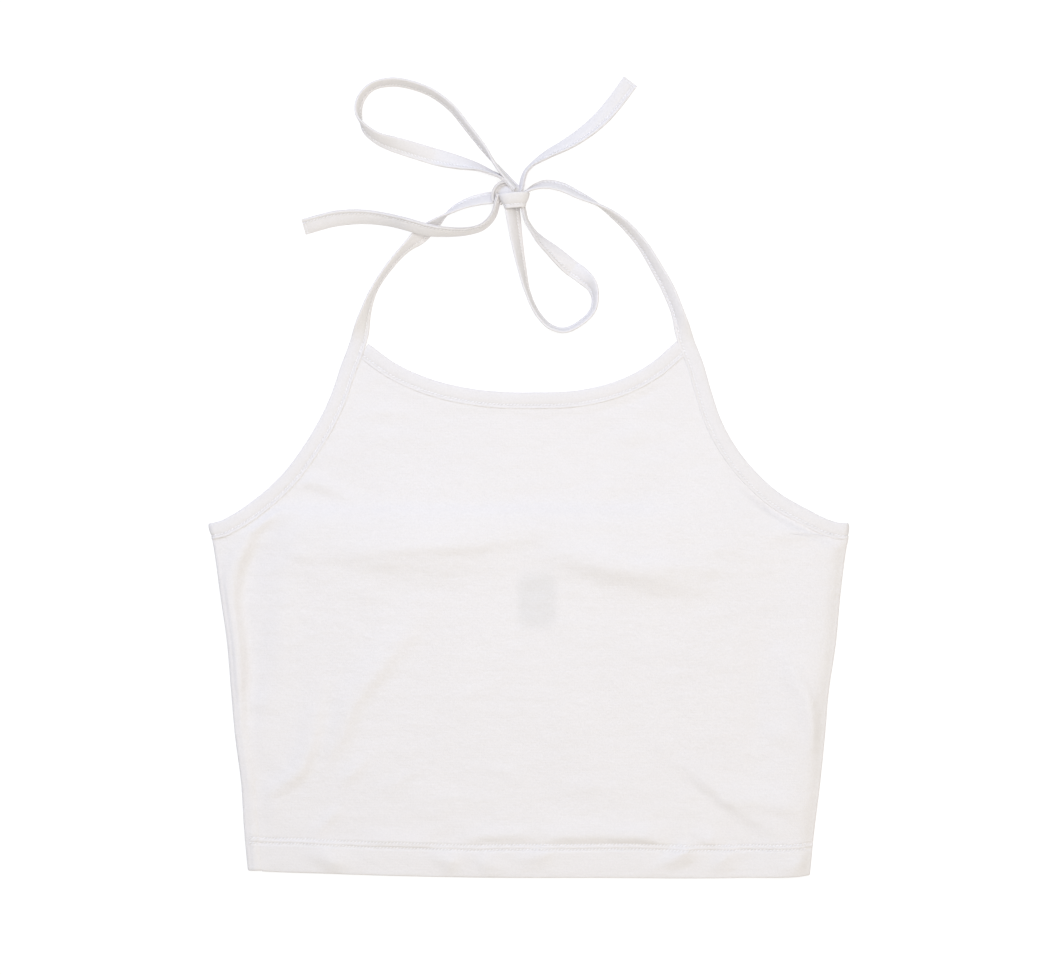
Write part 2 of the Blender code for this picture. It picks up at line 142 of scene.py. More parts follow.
# %% The garment's lines
# Columns: y, left x, right x.
SIDE_ROWS = (
    (-37, -199.3, 201.3), (-44.7, -198, 200), (-75, -193.9, 196.2), (-105.2, -189.7, 193.4),
    (-135.5, -187.2, 189), (-165.7, -184.6, 186.4), (-195.9, -180.8, 183.3), (-226.2, -178.9, 179.6),
    (-252, -176.6, 176.9),
)
# Columns: x, y.
HEM_ROWS = (
    (-180, -246.5), (-161.6, -247.6), (-125.7, -248.8), (-86.6, -250.1),
    (-27.4, -251.3), (38.7, -251.4), (135.8, -251.4), (172.9, -250.2),
    (180, -249.5),
)
# Middle lines of the tape. Columns: x, y, lean, lift. Lean turns the tape about its own line,
# in degrees, and raises its left edge. Lift is the height of its lowest edge.
NECK_ROWS = (
    (-101.9, 78.8, 0, 0), (-87.4, 68.3, 0, 0), (-60, 56.3, 0, 0), (-31, 50.2, 0, 0),
    (4, 48.6, 0, 0), (35, 50.4, 0, 0), (61, 57.6, 0, 0), (80.4, 68.2, 0, 0),
    (94.6, 80.4, 0, 0),
)
LEFT_CORNER = 10
LEFT_STRIP_ROWS = (
    (-197.9, -33.4, 0, 3.2), (-191.5, -31.8, 0, 3.2), (-184.3, -28.1, 0, 2.9), (-168.8, -17.4, 0, 0.9),
    (-152, -2.2, 0, 0), (-137, 17.6, 0, 0), (-127.9, 32.5, 0, 0), (-119.7, 49.8, 0, 0),
    (-112.8, 70, 0, 0), (-109.3, 79, 0, 0), (-106.8, 86.4, 6, 0), (-103, 102.1, 52, 0),
    (-97.6, 117.2, 74, 0), (-87.9, 132.3, 74, 0), (-75.5, 146, 60, 0), (-68, 152.3, 32, 0),
    (-62, 157.2, 48, 0), (-56, 162, 74, 0), (-49, 167.3, 106, 0), (-40, 172, 124, 0),
    (-30, 175, 136, 0), (-19, 176.4, 140, 0),
)
RIGHT_CORNER = 10
RIGHT_STRIP_ROWS = (
    (198.9, -33.6, 0, 3.2), (193.5, -33.2, 0, 3.2), (187.4, -31.4, 0, 3.1), (174.1, -24.9, 0, 2.6),
    (155.2, -14, 0, 0.5), (141.3, -1.8, 0, 0), (128.3, 13.6, 0, 0), (116.2, 35, 0, 0),
    (109.8, 53.9, 0, 0), (104.4, 72.2, 0, 0), (98.7, 87, -5, 0), (94.4, 102.1, -44, 0),
    (88.5, 117.2, -47, 0), (80.3, 132.3, -53, 0), (70.9, 147.4, -60, 0), (52, 166.3, -78, 0),
    (39.4, 173.9, -106, 0), (31.2, 177.7, -118, 0), (19.8, 183, -125, 0), (10.4, 184.3, -123, 0),
    (3, 182.2, -108, 0), (-2.5, 178.8, -90, 0), (-6.5, 174.5, -80, 0),
)
BACK_TAPE_Y = -34.1

TAPE_WIDTH = 10.5
TAPE_THICK = 2.0
SEAM_INSET = 9.5
FOLD_RADIUS = 1.6
CLOTH_WALL = 0.7
TUBE_TOP = -36.6
HEM_LEVEL = -252.0
HEM_DEPTH = 20.7
HEM_ROLL = 0.85
RIGHT_ROLL = 1.6
FOLD_OUTER = FOLD_RADIUS + 0.55
FOLD_TOP = 2 * FOLD_OUTER

side_line = smooth_rows(SIDE_ROWS, 2.0)[::-1]


def side_x(y, right):
    """Outermost x of a side fold at this height of the garment."""
    return np.interp(y, side_line[:, 0], side_line[:, 2 if right else 1])


def beside(rows, distance):
    """The line at this distance to the left of a tape's middle line: x, y, tape's middle z."""
    line = smooth_rows(rows, 1.0)
    x = line[:, 0] - distance * np.sin(line[:, -1])
    y = line[:, 1] + distance * np.cos(line[:, -1])
    return np.column_stack([x, y, np.maximum(line[:, 3], 0.0) + TAPE_THICK / 2])


print("tube is", round(float(side_x(-252, True) - side_x(-252, False))), "mm wide at the hem")

# %% [markdown]
# ## Finishes
#
# The whole garment is one fabric, cotton single jersey: a weft knit of bleached ring-spun yarn,
# with columns of small V stitches on its right side. It is matt, with a short pale fuzz that
# catches light at a glancing angle. The tape is the same jersey, folded in four and pressed,
# so it looks a little denser; its colour is a step darker than the panel's, which is painted
# shade for the bow's strands that stand on edge. The thread is spun polyester, brighter and
# slightly glossy.
# Each is built from nodes. The stitch pattern reads a UV map that is kept in metres of cloth, so
# it follows the cloth wherever that goes, and stays the same size on each piece.

# %% A node helper and colours
def linear(code):
    """An sRGB hex code as a linear colour with full alpha."""
    parts = [int(code[k : k + 2], 16) / 255 for k in (1, 3, 5)]
    values = [p / 12.92 if p <= 0.04045 else ((p + 0.055) / 1.055) ** 2.4 for p in parts]
    return (*values, 1.0)


def add_node(tree, kind, settings=(), **inputs):
    """Adds a node. Settings are (name, value) pairs. An input is a value or a socket to link."""
    node = tree.nodes.new(kind)
    for name, value in settings:
        setattr(node, name, value)
    for name, value in inputs.items():
        socket = node.inputs[int(name[1:])] if name[1:].isdigit() else node.inputs[name.replace("_", " ")]
        if isinstance(value, bpy.types.NodeSocket):
            tree.links.new(value, socket)
        else:
            socket.default_value = value
    return node


def new_material(name):
    material = bpy.data.materials.new(name)
    material.use_nodes = True
    return material, material.node_tree, material.node_tree.nodes["Principled BSDF"]


# %% The knitted jersey
# Real columns of stitches are 0.65 mm wide, which is one pixel here and would shimmer, so the
# pattern is drawn about twice as coarse.
WALE = 1.3 * MM
COURSE = 1.05 * MM


def knit_height(tree):
    """Height of the V stitches from the cloth's own UV map, 0 to 1."""
    uv = add_node(tree, "ShaderNodeUVMap", [("uv_map", "cloth")])
    split = add_node(tree, "ShaderNodeSeparateXYZ", _0=uv.outputs[0])

    socket = {"u": split.outputs[0], "v": split.outputs[1]}
    # Columns: result, operation, its inputs. A number is an input too.
    steps = (
        ("half_wales", "MULTIPLY", "u", 2 / WALE),
        ("in_leg", "FRACT", "half_wales", 0.0),
        ("half_turn", "MULTIPLY", "in_leg", pi),
        ("round_leg", "SINE", "half_turn", 0.0),
        ("slant", "PINGPONG", "half_wales", 1.0),
        ("climb", "MULTIPLY", "slant", 0.6),
        ("courses", "DIVIDE", "v", COURSE),
        ("slanted", "ADD", "courses", "climb"),
        ("turn", "MULTIPLY", "slanted", 2 * pi),
        ("wave", "SINE", "turn", 0.0),
        ("low_wave", "MULTIPLY", "wave", 0.4),
        ("loops", "ADD", "low_wave", 0.6),
        ("height", "MULTIPLY", "round_leg", "loops"),
    )
    for result, operation, a, b in steps:
        settings = [("operation", operation)]
        node = add_node(tree, "ShaderNodeMath", settings, _0=socket.get(a, a), _1=socket.get(b, b))
        socket[result] = node.outputs[0]
    return socket["height"]


def jersey(name, light, shade, knit_depth, grain_depth, wrinkle_depth, patch=None):
    """White cotton jersey: a matt knit whose tone wanders softly between two near whites."""
    material, tree, shader = new_material(name)
    place = add_node(tree, "ShaderNodeTexCoord").outputs["Object"]
    clouds = add_node(tree, "ShaderNodeTexNoise", Vector=place, Scale=22.0, Detail=2.0)
    grain = add_node(tree, "ShaderNodeTexNoise", Vector=place, Scale=900.0, Detail=2.0)
    stretched = add_node(
        tree, "ShaderNodeMapping", Vector=place, Rotation=(0.0, 0.0, radians(6)), Scale=(62.0, 118.0, 62.0)
    )
    wrinkles = add_node(tree, "ShaderNodeTexNoise", Vector=stretched.outputs[0], Scale=1.0, Detail=2.0)
    tone = add_node(
        tree, "ShaderNodeMix", [("data_type", "RGBA")],
        _0=clouds.outputs[0], _6=linear(light), _7=linear(shade),
    ).outputs[2]
    speckle = add_node(
        tree, "ShaderNodeMapRange",
        _0=grain.outputs[0], _1=0.25, _2=0.75, _3=0.965, _4=1.02,
    ).outputs[0]
    tone = add_node(
        tree, "ShaderNodeMix", [("data_type", "RGBA"), ("blend_type", "MULTIPLY")],
        _0=1.0, _6=tone, _7=speckle,
    ).outputs[2]
    if patch:
        centre, half_size, strength, tint = patch
        scaled = place
        for operation, by in (("SUBTRACT", (*centre, 0.0)), ("DIVIDE", (*half_size, 1.0))):
            settings = [("operation", operation)]
            scaled = add_node(tree, "ShaderNodeVectorMath", settings, _0=scaled, _1=by).outputs[0]
        # Squared sides make the patch a rounded rectangle and not an oval.
        settings = [("operation", "MULTIPLY")]
        squared = add_node(tree, "ShaderNodeVectorMath", settings, _0=scaled, _1=scaled)
        settings = [("operation", "LENGTH")]
        reach = add_node(tree, "ShaderNodeVectorMath", settings, _0=squared.outputs[0])
        mask = add_node(
            tree, "ShaderNodeMapRange", [("interpolation_type", "SMOOTHSTEP")],
            _0=reach.outputs["Value"], _1=1.8, _2=0.4, _3=0.0, _4=strength,
        )
        tone = add_node(
            tree, "ShaderNodeMix", [("data_type", "RGBA")],
            _0=mask.outputs[0], _6=tone, _7=linear(tint),
        ).outputs[2]
    tree.links.new(tone, shader.inputs["Base Color"])
    puckers = add_node(
        tree, "ShaderNodeBump", Height=wrinkles.outputs[0], Strength=1.0, Distance=wrinkle_depth
    )
    fuzz = add_node(
        tree, "ShaderNodeBump",
        Height=grain.outputs[0], Strength=0.5, Distance=grain_depth, Normal=puckers.outputs[0],
    )
    knit = add_node(
        tree, "ShaderNodeBump",
        Height=knit_height(tree), Strength=0.6, Distance=knit_depth, Normal=fuzz.outputs[0],
    )
    tree.links.new(knit.outputs[0], shader.inputs["Normal"])
    shader.inputs["Roughness"].default_value = 0.92
    shader.inputs["IOR"].default_value = 1.5
    shader.inputs["Specular IOR Level"].default_value = 0.25
    shader.inputs["Sheen Weight"].default_value = 0.12
    shader.inputs["Sheen Roughness"].default_value = 0.6
    return material


# The soft grey patch below the middle of the front is something inside the back that shows
# through the thin cloth. It is kept as a plain tint, with nothing to read in it.
patch = ((5.5 * MM, -76.5 * MM), (11.5 * MM, 16.5 * MM), 0.10, "#8A908C")
panel_jersey = jersey(
    "white_single_jersey", "#DFDBDA", "#DCD8D7", 0.11 * MM, 0.21 * MM, 0.70 * MM, patch
)
# The tape's two tones are a step darker than the panel's: painted shade for the bow's strands that stand
# on edge.
tape_jersey = jersey(
    "white_jersey_tape_with_painted_shade", "#DDD9D8", "#D9D5D4", 0.08 * MM, 0.12 * MM, 0.35 * MM
)

# %% The sewing thread
# Spun polyester thread, two plies twisted: brighter than the cotton, with a faint gloss.
thread, thread_tree, thread_shader = new_material("white_spun_polyester_thread")
thread_shader.inputs["Base Color"].default_value = linear("#E6E4E5")
twist_place = add_node(thread_tree, "ShaderNodeTexCoord").outputs["Object"]
twist = add_node(
    thread_tree, "ShaderNodeTexWave", [("bands_direction", "DIAGONAL")],
    Vector=twist_place, Scale=700.0, Distortion=1.0,
)
twist_bump = add_node(
    thread_tree, "ShaderNodeBump", Height=twist.outputs["Fac"], Strength=0.4, Distance=0.05 * MM
)
thread_tree.links.new(twist_bump.outputs[0], thread_shader.inputs["Normal"])
thread_shader.inputs["Roughness"].default_value = 0.55
thread_shader.inputs["IOR"].default_value = 1.57
print("materials:", panel_jersey.name, tape_jersey.name, thread.name)

# %% [markdown]
# ## A length of cloth from a grid
#
# Blender's grid primitive is a good start for cloth: it is a flat net of even squares, like the
# knit itself. The net is made with the columns and rows that the piece needs, and then each
# vertex is moved to its place by its column and row. The UV map takes each vertex's place in
# the flat cloth, in metres, so the knit keeps its size where the cloth rolls and folds.

# %% Helpers that cut and move a net of cloth
def cloth_net(name, columns, rows):
    """A grid primitive with this many columns and rows of vertices, and their numbers."""
    bpy.ops.object.select_all(action="DESELECT")
    bpy.ops.mesh.primitive_grid_add(
        x_subdivisions=columns - 1, y_subdivisions=rows - 1, size=1.0, calc_uvs=True
    )
    piece = bpy.context.object
    piece.name = piece.data.name = name
    piece.data.uv_layers[0].name = "cloth"
    places = np.empty(len(piece.data.vertices) * 3)
    piece.data.vertices.foreach_get("co", places)
    places = places.reshape(-1, 3)
    column = np.rint((places[:, 0] + 0.5) * (columns - 1)).astype(int)
    row = np.rint((places[:, 1] + 0.5) * (rows - 1)).astype(int)
    return piece, column, row


def move_net(piece, column, row, table):
    """Moves each vertex to table[row, column]: its x, y, z, and its place u, v in flat cloth."""
    mesh = piece.data
    placed = table[row, column] * MM
    mesh.vertices.foreach_set("co", placed[:, :3].ravel())
    corners = np.empty(len(mesh.loops), int)
    mesh.loops.foreach_get("vertex_index", corners)
    mesh.uv_layers["cloth"].data.foreach_set("uv", placed[corners, 3:].ravel())
    mesh.update()


def pick(piece):
    """Makes a piece the active one, and the only one that is selected."""
    bpy.ops.object.select_all(action="DESELECT")
    piece.select_set(True)
    bpy.context.view_layer.objects.active = piece


def edit_points(piece, chosen):
    """Opens a piece in edit mode with only the chosen vertices selected."""
    pick(piece)
    bpy.ops.object.mode_set(mode="EDIT")
    bpy.ops.mesh.select_mode(type="VERT")
    bpy.ops.mesh.select_all(action="DESELECT")
    bpy.ops.object.mode_set(mode="OBJECT")
    piece.data.vertices.foreach_set("select", np.asarray(chosen, bool))
    bpy.ops.object.mode_set(mode="EDIT")


def give_wall(piece, thickness):
    """Gives a sheet its thickness, inwards from the face that was modelled."""
    pick(piece)
    wall = piece.modifiers.new("wall", "SOLIDIFY")
    wall.thickness = thickness * MM
    wall.offset = -1.0
    bpy.ops.object.modifier_apply(modifier=wall.name)


def smooth_shading(piece, angle=60):
    pick(piece)
    bpy.ops.object.shade_smooth_by_angle(angle=radians(angle))


def triangles(piece):
    return sum(len(face.vertices) - 2 for face in piece.data.polygons)


# %% [markdown]
# ## The creases of the front
#
# The cloth isn't flat. It lies on the surface in the bib, climbs over the thick tape along the
# top of the back as a broad ridge, and dips below it. On top of that are single creases, each
# placed one by one from the photo as a soft ridge or trough with its own length, width and depth,
# and a little unevenness everywhere. All of this is a height for each place on the front.

# %% Heights of the front
# Height of the front's face over the surface: steep at the left and middle, and gentle at the
# right. Columns: y, z.
FRONT_RISE = (
    (90, 1.1), (20, 1.1), (-4, 1.15), (-11, 1.3),
    (-15.5, 2), (-23, 5), (-28, 5.9), (-40, 5.7),
    (-52, 4.9), (-68, 4), (-100, 3.65), (-256, 3.65),
)
GENTLE_RISE = (
    (90, 1.1), (36, 1.1), (16, 1.5), (-4, 2.7),
    (-20, 4.2), (-34, 5.2), (-44, 5.3), (-60, 4.7),
    (-76, 4.2), (-110, 3.9), (-256, 3.65),
)
# Each crease is a short line. Columns: x, y, width of its left slope, width of its right slope,
# height. Left and right are as one walks down the rows, and troughs have heights below 0. The
# heights were judged, and a fifth more gave the photo's shades, so all are scaled by that.
CREASE_SCALE = 1.2
CREASES = (
    # the long slanting crease at the lower left, and its hooked neighbour
    ((-56, -72, 8, 10, 0), (-78, -100, 7, 11, 1.2), (-94, -120, 6, 11, 1.9), (-110, -141, 5.5, 10, 1.9),
     (-117, -161, 5, 9, 1.6), (-130, -183, 5, 8, 0)),
    ((-128, -122, 5, 8, 0), (-133, -147, 4.5, 8, 1.1), (-137, -170, 4.5, 8, 1.9),
     (-144, -185, 4.5, 7, 2.1), (-157, -194.5, 5, 6, 1.4), (-170, -200, 5, 6, 0)),
    # two short ridges below them
    ((-95, -170, 4, 5, 0), (-109, -184, 3.6, 5, 1), (-125, -200, 4, 5, 0)),
    ((-112, -203, 4, 4, 0), (-124, -213, 3.6, 4, 1.1), (-133, -223, 4, 4, 0.5), (-140, -234, 4, 4, 0)),
    # soft upright waves beside the left seam
    ((-150, -64, 8, 7, 0), (-159, -102, 8, 7, 0.8), (-164, -140, 8, 7, 0.8), (-170, -178, 7, 7, 0)),
    ((-164, -190, 5, 6, 0), (-160, -207, 5, 6, 0.6), (-163, -224, 5, 6, 0)),
    # the lip of the ridge over the back's tape, left and middle
    ((-153, -47, 5, 3, 0), (-143, -49, 5, 3, 0.8), (-130, -50, 5, 3, 0)),
    ((-128, -49, 8, 4, 0), (-99, -47, 8, 3.4, 0.9), (-41, -43, 8, 3.4, 0.9), (1, -38, 8, 4, 0.6),
     (17, -35, 8, 4, 0)),
    ((-114, -55, 7, 6, 0), (-90, -54, 7, 5, 0.9), (-61, -55, 7, 5, 0.7), (-37, -59, 7, 6, 0)),
    ((-119, -72, 6, 5, 0), (-102, -73, 6, 5, 0.6), (-82, -76, 6, 5, 0)),
    # the broad fall below that ridge
    ((-144, -42, 12, 14, 0), (-100, -44, 12, 15, 1.5), (-49, -42, 12, 15, 1.6), (-5, -42, 12, 14, 0)),
    ((4, -42, 14, 16, 0), (45, -49, 14, 17, 1.9), (83, -55, 14, 16, 2.0), (121, -59, 12, 14, 0)),
    # its deeper fold right of the middle
    ((4, -44, 9, 8, 0), (27, -49, 9, 8, 1.2), (53, -56, 9, 9, 2.3), (75, -61, 9, 9, 2.5),
     (97, -66, 8, 8, 1.2), (116, -69, 7, 7, 0)),
    ((64, -52, 6, 5, 0), (88, -55, 6, 4.5, 1), (116, -58, 6, 4.5, 0.8), (136, -59, 6, 5, 0)),
    ((104, -44, 5, 4, 0), (121, -45, 5, 3.4, 0.8), (136, -45, 5, 4, 0)),
    ((142, -37, 6, 4, 0), (165, -35, 6, 3.8, 1.3), (186, -36, 6, 4, 0)),
    # bulges in the slope above the ridge
    ((-162, 5, 6, 6, 0), (-144, 0, 6, 5, 0.9), (-128, -5, 6, 4.5, 1.6), (-112, -13, 6, 5, 1),
     (-97, -19, 6, 6, 0)),
    ((-99, -5, 10, 9, 0), (-56, -9, 10, 9, 0.7), (-18, -5, 10, 9, 0)),
    ((20, -14, 9, 8, 0), (48, -8, 9, 8, 0.8), (77, 0, 9, 8, 0)),
    # slack under the neck binding, and fine puckers in the bib
    ((40, 43, 3, 3, 0), (53, 46, 3, 3.4, -0.7), (69, 51, 3, 3.4, -0.8), (85, 59, 3, 3, 0)),
    ((49, 24, 7, 6, 0), (66, 28, 7, 6, 0.8), (85, 30, 7, 6, 0)),
    ((59, 5, 8, 7, 0), (85, 10, 8, 7, 0.6), (109, 13, 8, 7, 0)),
    ((-120, 38, 4, 4, 0), (-91, 42, 4, 4, 0.4), (-62, 40, 4, 4, 0)),
    ((-111, 24, 5, 4, 0), (-81, 26, 5, 4, 0.5), (-46, 23, 5, 4, 0)),
    ((-144, 19, 5, 5, 0), (-125, 16, 5, 5, 0.5), (-102, 10, 5, 5, 0)),
    # the upright press line at the right, and the band beside it
    ((129, -77, 1.6, 1.4, 0), (128, -105, 1.6, 1.4, 0.22), (126, -152, 1.6, 1.4, 0.2),
     (125, -203, 1.6, 1.4, 0)),
    ((144, -84, 6, 6, 0), (144, -115, 6, 6, -0.5), (143, -152, 6, 6, -0.5), (141, -178, 6, 6, 0)),
    # the right side
    ((156, -102, 4, 8, 0), (166, -120, 4, 8, 1.5), (176, -140, 3.6, 7, 2.3), (179, -159, 3.6, 6, 1.8),
     (175, -179, 4, 6, 0)),
    ((146, -156, 6, 5, 0), (157, -161, 6, 5, 1), (171, -168, 5, 5, 0)),
    ((93, -175, 8, 5, 0), (107, -188, 9, 4, 1.4), (122, -201, 9, 4, 1.9), (141, -214, 8, 4.5, 1.5),
     (163, -226, 7, 5, 0)),
    ((118, -199, 10, 7, 0), (141, -203, 11, 6, 1.6), (162, -207, 10, 5, 1.5), (176, -213, 9, 5, 0)),
    ((70, -156, 7, 7, 0), (85, -170, 7, 6, 0.7), (98, -184, 7, 6, 0)),
    # bulges that end at the hem's stitches
    ((-106, -227, 6, 3.2, 0), (-92, -228, 6, 2.8, 1), (-66, -229, 6, 2.8, 1), (-56, -228, 6, 3.2, 0)),
    ((-46, -228, 6, 3.2, 0), (-27, -225, 6, 3, 1.3), (-5, -225, 6, 3, 1.2), (7, -226, 6, 3.2, 0)),
    ((1, -228, 8, 3.6, 0), (24, -225, 8, 3.2, 1.7), (49, -225, 8, 3.4, 1.7), (74, -226, 8, 3.2, 2.5),
     (89, -229, 7, 3.2, 0)),
    ((102, -225, 6, 3.6, 0), (114, -228, 6, 3.4, 1.5), (123, -233, 6, 4, 0)),
    # waves in the hem itself
    ((-115, -233, 10, 15, 0), (-123, -241, 9, 14, 2.2), (-125, -248, 9, 12, 0)),
    ((-48, -233, 5, 11, 0), (-49, -241, 5, 11, 1.8), (-52, -248, 5, 9, 0)),
    ((-26, -234, 10, 5, 0), (-27, -242, 10, 5, 1.4), (-29, -249, 9, 5, 0)),
    ((6, -231, 6, 14, 0), (8, -237, 6, 14, 1.5), (10, -246, 6, 12, 0)),
    ((93, -230, 7, 18, 0), (97, -236, 7, 18, 2.4), (100, -244, 7, 14, 0)),
    ((118, -233, 7, 6, 0), (122, -240, 7, 6, 1.6), (128, -247, 7, 6, 0)),
    ((168, -236, 5, 10, 0), (170, -242, 5, 10, 1.3), (172, -248, 5, 8, 0)),
    # fine slanting wrinkles low in the middle
    ((-96, -197, 4, 3.4, 0), (-80, -189, 4, 3.4, 0.5), (-60, -180, 4, 3.4, 0)),
    ((-78, -203, 5, 4, 0), (-49, -200, 5, 4, 0.6), (-5, -203, 5, 4, 0)),
    ((-72, -213, 4, 3.4, 0), (-56, -210, 4, 3.4, 0.5), (-39, -208, 4, 3.4, 0)),
    ((-31, -180, 4, 3.4, 0), (-15, -184, 4, 3.4, 0.5), (1, -190, 4, 3.4, 0)),
    ((12, -197, 5, 4, 0), (39, -194, 5, 4, 0.5), (64, -199, 5, 4, 0)),
    ((-57, -140, 5, 5, 0), (-37, -134, 5, 5, 0.4), (-12, -131, 5, 5, 0)),
)


def crease_height(x, y):
    """What the creases add to the cloth's height. Each one is read at its nearest point."""
    total = np.zeros(x.shape)
    for crease in CREASES:
        rows = np.array(crease, float)
        nearest = np.full(x.shape, 1e9)
        height = np.zeros(x.shape)
        for a, b in zip(rows, rows[1:]):
            run = b[:2] - a[:2]
            t = np.clip(((x - a[0]) * run[0] + (y - a[1]) * run[1]) / run.dot(run), 0.0, 1.0)
            off_x, off_y = x - a[0] - t * run[0], y - a[1] - t * run[1]
            away = np.hypot(off_x, off_y)
            on_left = run[0] * off_y - run[1] * off_x > 0
            left, right, rise = (a[k] + (b[k] - a[k]) * t for k in (2, 3, 4))
            soft = rise * np.exp(-((away / np.where(on_left, left, right)) ** 2))
            height = np.where(away < nearest, soft, height)
            nearest = np.minimum(away, nearest)
        total += height
    return total


HEM_NEEDLES = (HEM_DEPTH, HEM_DEPTH - 3.1)


def needle_line(x, depth):
    """Height above the hem's edge of a row of hem stitches, which wanders a little."""
    return depth + 0.35 * np.sin(x / 31.0) + 0.2 * np.sin(x / 11.0 + 2.0)


def hem_relief(x, above):
    """The hem is two layers thick, and each row of stitches pulls a narrow groove into it."""
    relief = 0.55 * blend((HEM_DEPTH + 2.5 - above) / 4.0)
    for depth in HEM_NEEDLES:
        relief -= 0.64 * np.exp(-(((above - needle_line(x, depth)) / 0.85) ** 2))
    return relief


neck_edge = beside(NECK_ROWS, -(TAPE_WIDTH / 2 - 1.5))
left_edge = beside(LEFT_STRIP_ROWS[: LEFT_CORNER + 1], -(TAPE_WIDTH / 2 - 1.5))
right_edge = beside(RIGHT_STRIP_ROWS[: RIGHT_CORNER + 1], TAPE_WIDTH / 2 - 1.5)
tape_edges = np.vstack([neck_edge, left_edge, right_edge])


# The rolled left side stands higher than the front beside it. Columns: y, how far the middle of
# the step lies from the side, the step's height.
LEFT_STEP = (
    (-14, 44, 0.7), (-24, 38, 1.3), (-33, 30.5, 1.5), (-40, 25.5, 1.6),
    (-47, 21.5, 2.7), (-58, 16, 2.9), (-72, 12, 2.8), (-95, 11, 2.8),
    (-118, 10.3, 2.9), (-133, 9.4, 2.6), (-141, 8.6, 1.6), (-150, 7.8, 1.8),
    (-160, 7.8, 1.2), (-174, 8.2, 0.9), (-188, 8.8, 1.4), (-200, 9, 0.9),
    (-222, 9.5, 0.7), (-252, 9.5, 0.6),
)
STEP_WIDTH = 6.6
# The right side bulges over its fold by this height, and falls to it within this distance.
RIGHT_BULGE = 3.2
RIGHT_FALL = 10.0
left_step = smooth_rows([(y, 0, away, height) for y, away, height in LEFT_STEP], 1.0)[::-1]


def left_side_top(x, y):
    """Height of the cloth at the left side, and how far in from the side it still counts."""
    away = np.interp(y, left_step[:, 0], left_step[:, 2])
    height = np.interp(y, left_step[:, 0], left_step[:, 3])
    beyond = x - side_x(y, False) - away
    top = FOLD_TOP - height * blend(beyond / STEP_WIDTH + 0.5)
    top += 0.45 * height * np.exp(-(((beyond + 5.5) / 5.5) ** 2))
    return top, blend(1 - (beyond - STEP_WIDTH / 2) / 26.0)


def front_top(x, y):
    """Height of the front's face at these places, in mm."""
    above = y - read_table(HEM_ROWS, x)
    gentle = blend((x - 62.0) / 45.0)
    z = read_table(FRONT_RISE, y) * (1 - gentle) + read_table(GENTLE_RISE, y) * gentle
    z += 0.45 * uneven(x, y, 68.0, 50.0, 1.0)
    z += 0.22 * uneven(x, y, 30.0, 7.5, 2.0)
    low = blend((-14.0 - y) / 22.0)
    to_fold = side_x(y, True) - RIGHT_ROLL - x
    fall = (1 - np.clip(to_fold / RIGHT_FALL, 0.0, 1.0)) ** 2
    z += (2 * RIGHT_ROLL + RIGHT_BULGE * (1 - fall) - z) * blend(1 - (to_fold - 13.0) / 30.0) * low
    left_top, near = left_side_top(x, y)
    z += (left_top - z) * near * low
    beside_fold = blend(to_fold / 6.0)
    to_seam = x - side_x(y, False) - SEAM_INSET
    z += CREASE_SCALE * crease_height(x, y) * beside_fold * (1 - low + low * blend(to_seam / 9.0))
    z += hem_relief(x, above)
    z += 0.05 * uneven(x, y, 11.0, 4.0, 3.0)
    z -= 0.35 * np.exp(-(((to_seam + 0.3) / 1.1) ** 2)) * (y < -190)
    gap = np.full(x.shape, 99.0)
    tape_z = np.zeros(x.shape)
    for edge_x, edge_y, middle in tape_edges:
        away = np.hypot(x - edge_x, y - edge_y)
        closer = away < gap
        gap = np.where(closer, away, gap)
        tape_z = np.where(closer, middle, tape_z)
    tucked = blend(1 - (gap - 1.8) / 5.5)
    return np.maximum(z + (tape_z + 0.45 - z) * tucked, CLOTH_WALL)


# %% [markdown]
# ## The front panel
#
# A real front is one piece of jersey. Its lower edge is turned up inside and sewn with two
# rows of stitches, its right side rolls over the soft side fold, and its other edges go into
# the binding. The net follows the same way: its first rows are the turned-up hem, then it
# rounds the hem's edge and climbs the front, and its last columns roll under the right side.
# The corner of the net beside the right armhole is deleted, as a cutter would cut it away.

# %% Rows of a tube panel
ROLL_STEPS = 9
TUCK_STEPS = 5
ACROSS = 188


def side_roll(outward):
    """Directions out of the cloth round a side fold, from its top to its underside."""
    turns = np.linspace(0.0, pi, ROLL_STEPS + 1)[1:]
    return outward * np.sin(turns), np.cos(turns)


def hem_course():
    """Each tube row's height above the hem's edge, and how deep inside the hem it lies."""
    turned_up = [(h, 2 * HEM_ROLL) for h in np.linspace(HEM_DEPTH - 1.0, HEM_ROLL, 8)]
    turns = np.radians([36, 72, 108, 144])
    edge = [(HEM_ROLL * (1 - np.sin(a)), HEM_ROLL * (1 + np.cos(a))) for a in turns]
    low = [(h, 0.0) for h in np.linspace(HEM_ROLL, 15.5, 9)]
    needles = [(h, 0.0) for h in np.linspace(16.0, 23.0, 15)]
    up = [(h, 0.0) for h in np.linspace(24.5, TUBE_TOP - HEM_LEVEL, 97)]
    return turned_up + edge + low + needles + up


def hem_shift(x, level):
    """How far a row moves to follow the hem's curve, fading out at the top of the tube."""
    share = 1 - (level - HEM_LEVEL) / (TUBE_TOP - HEM_LEVEL)
    return (read_table(HEM_ROWS, x) - HEM_LEVEL) * share


def flat_place(x, y, z, roll_from, sink):
    """Where a row's points lie in the flat cloth: u carries on round the roll, v round the hem."""
    steps = np.hypot(np.diff(x[roll_from:]), np.diff(z[roll_from:]))
    u = np.concatenate([x[: roll_from + 1], x[roll_from] + np.cumsum(steps)])
    v = y if sink == 0.0 else 2 * read_table(HEM_ROWS, x) - y - 1.0
    return u, v


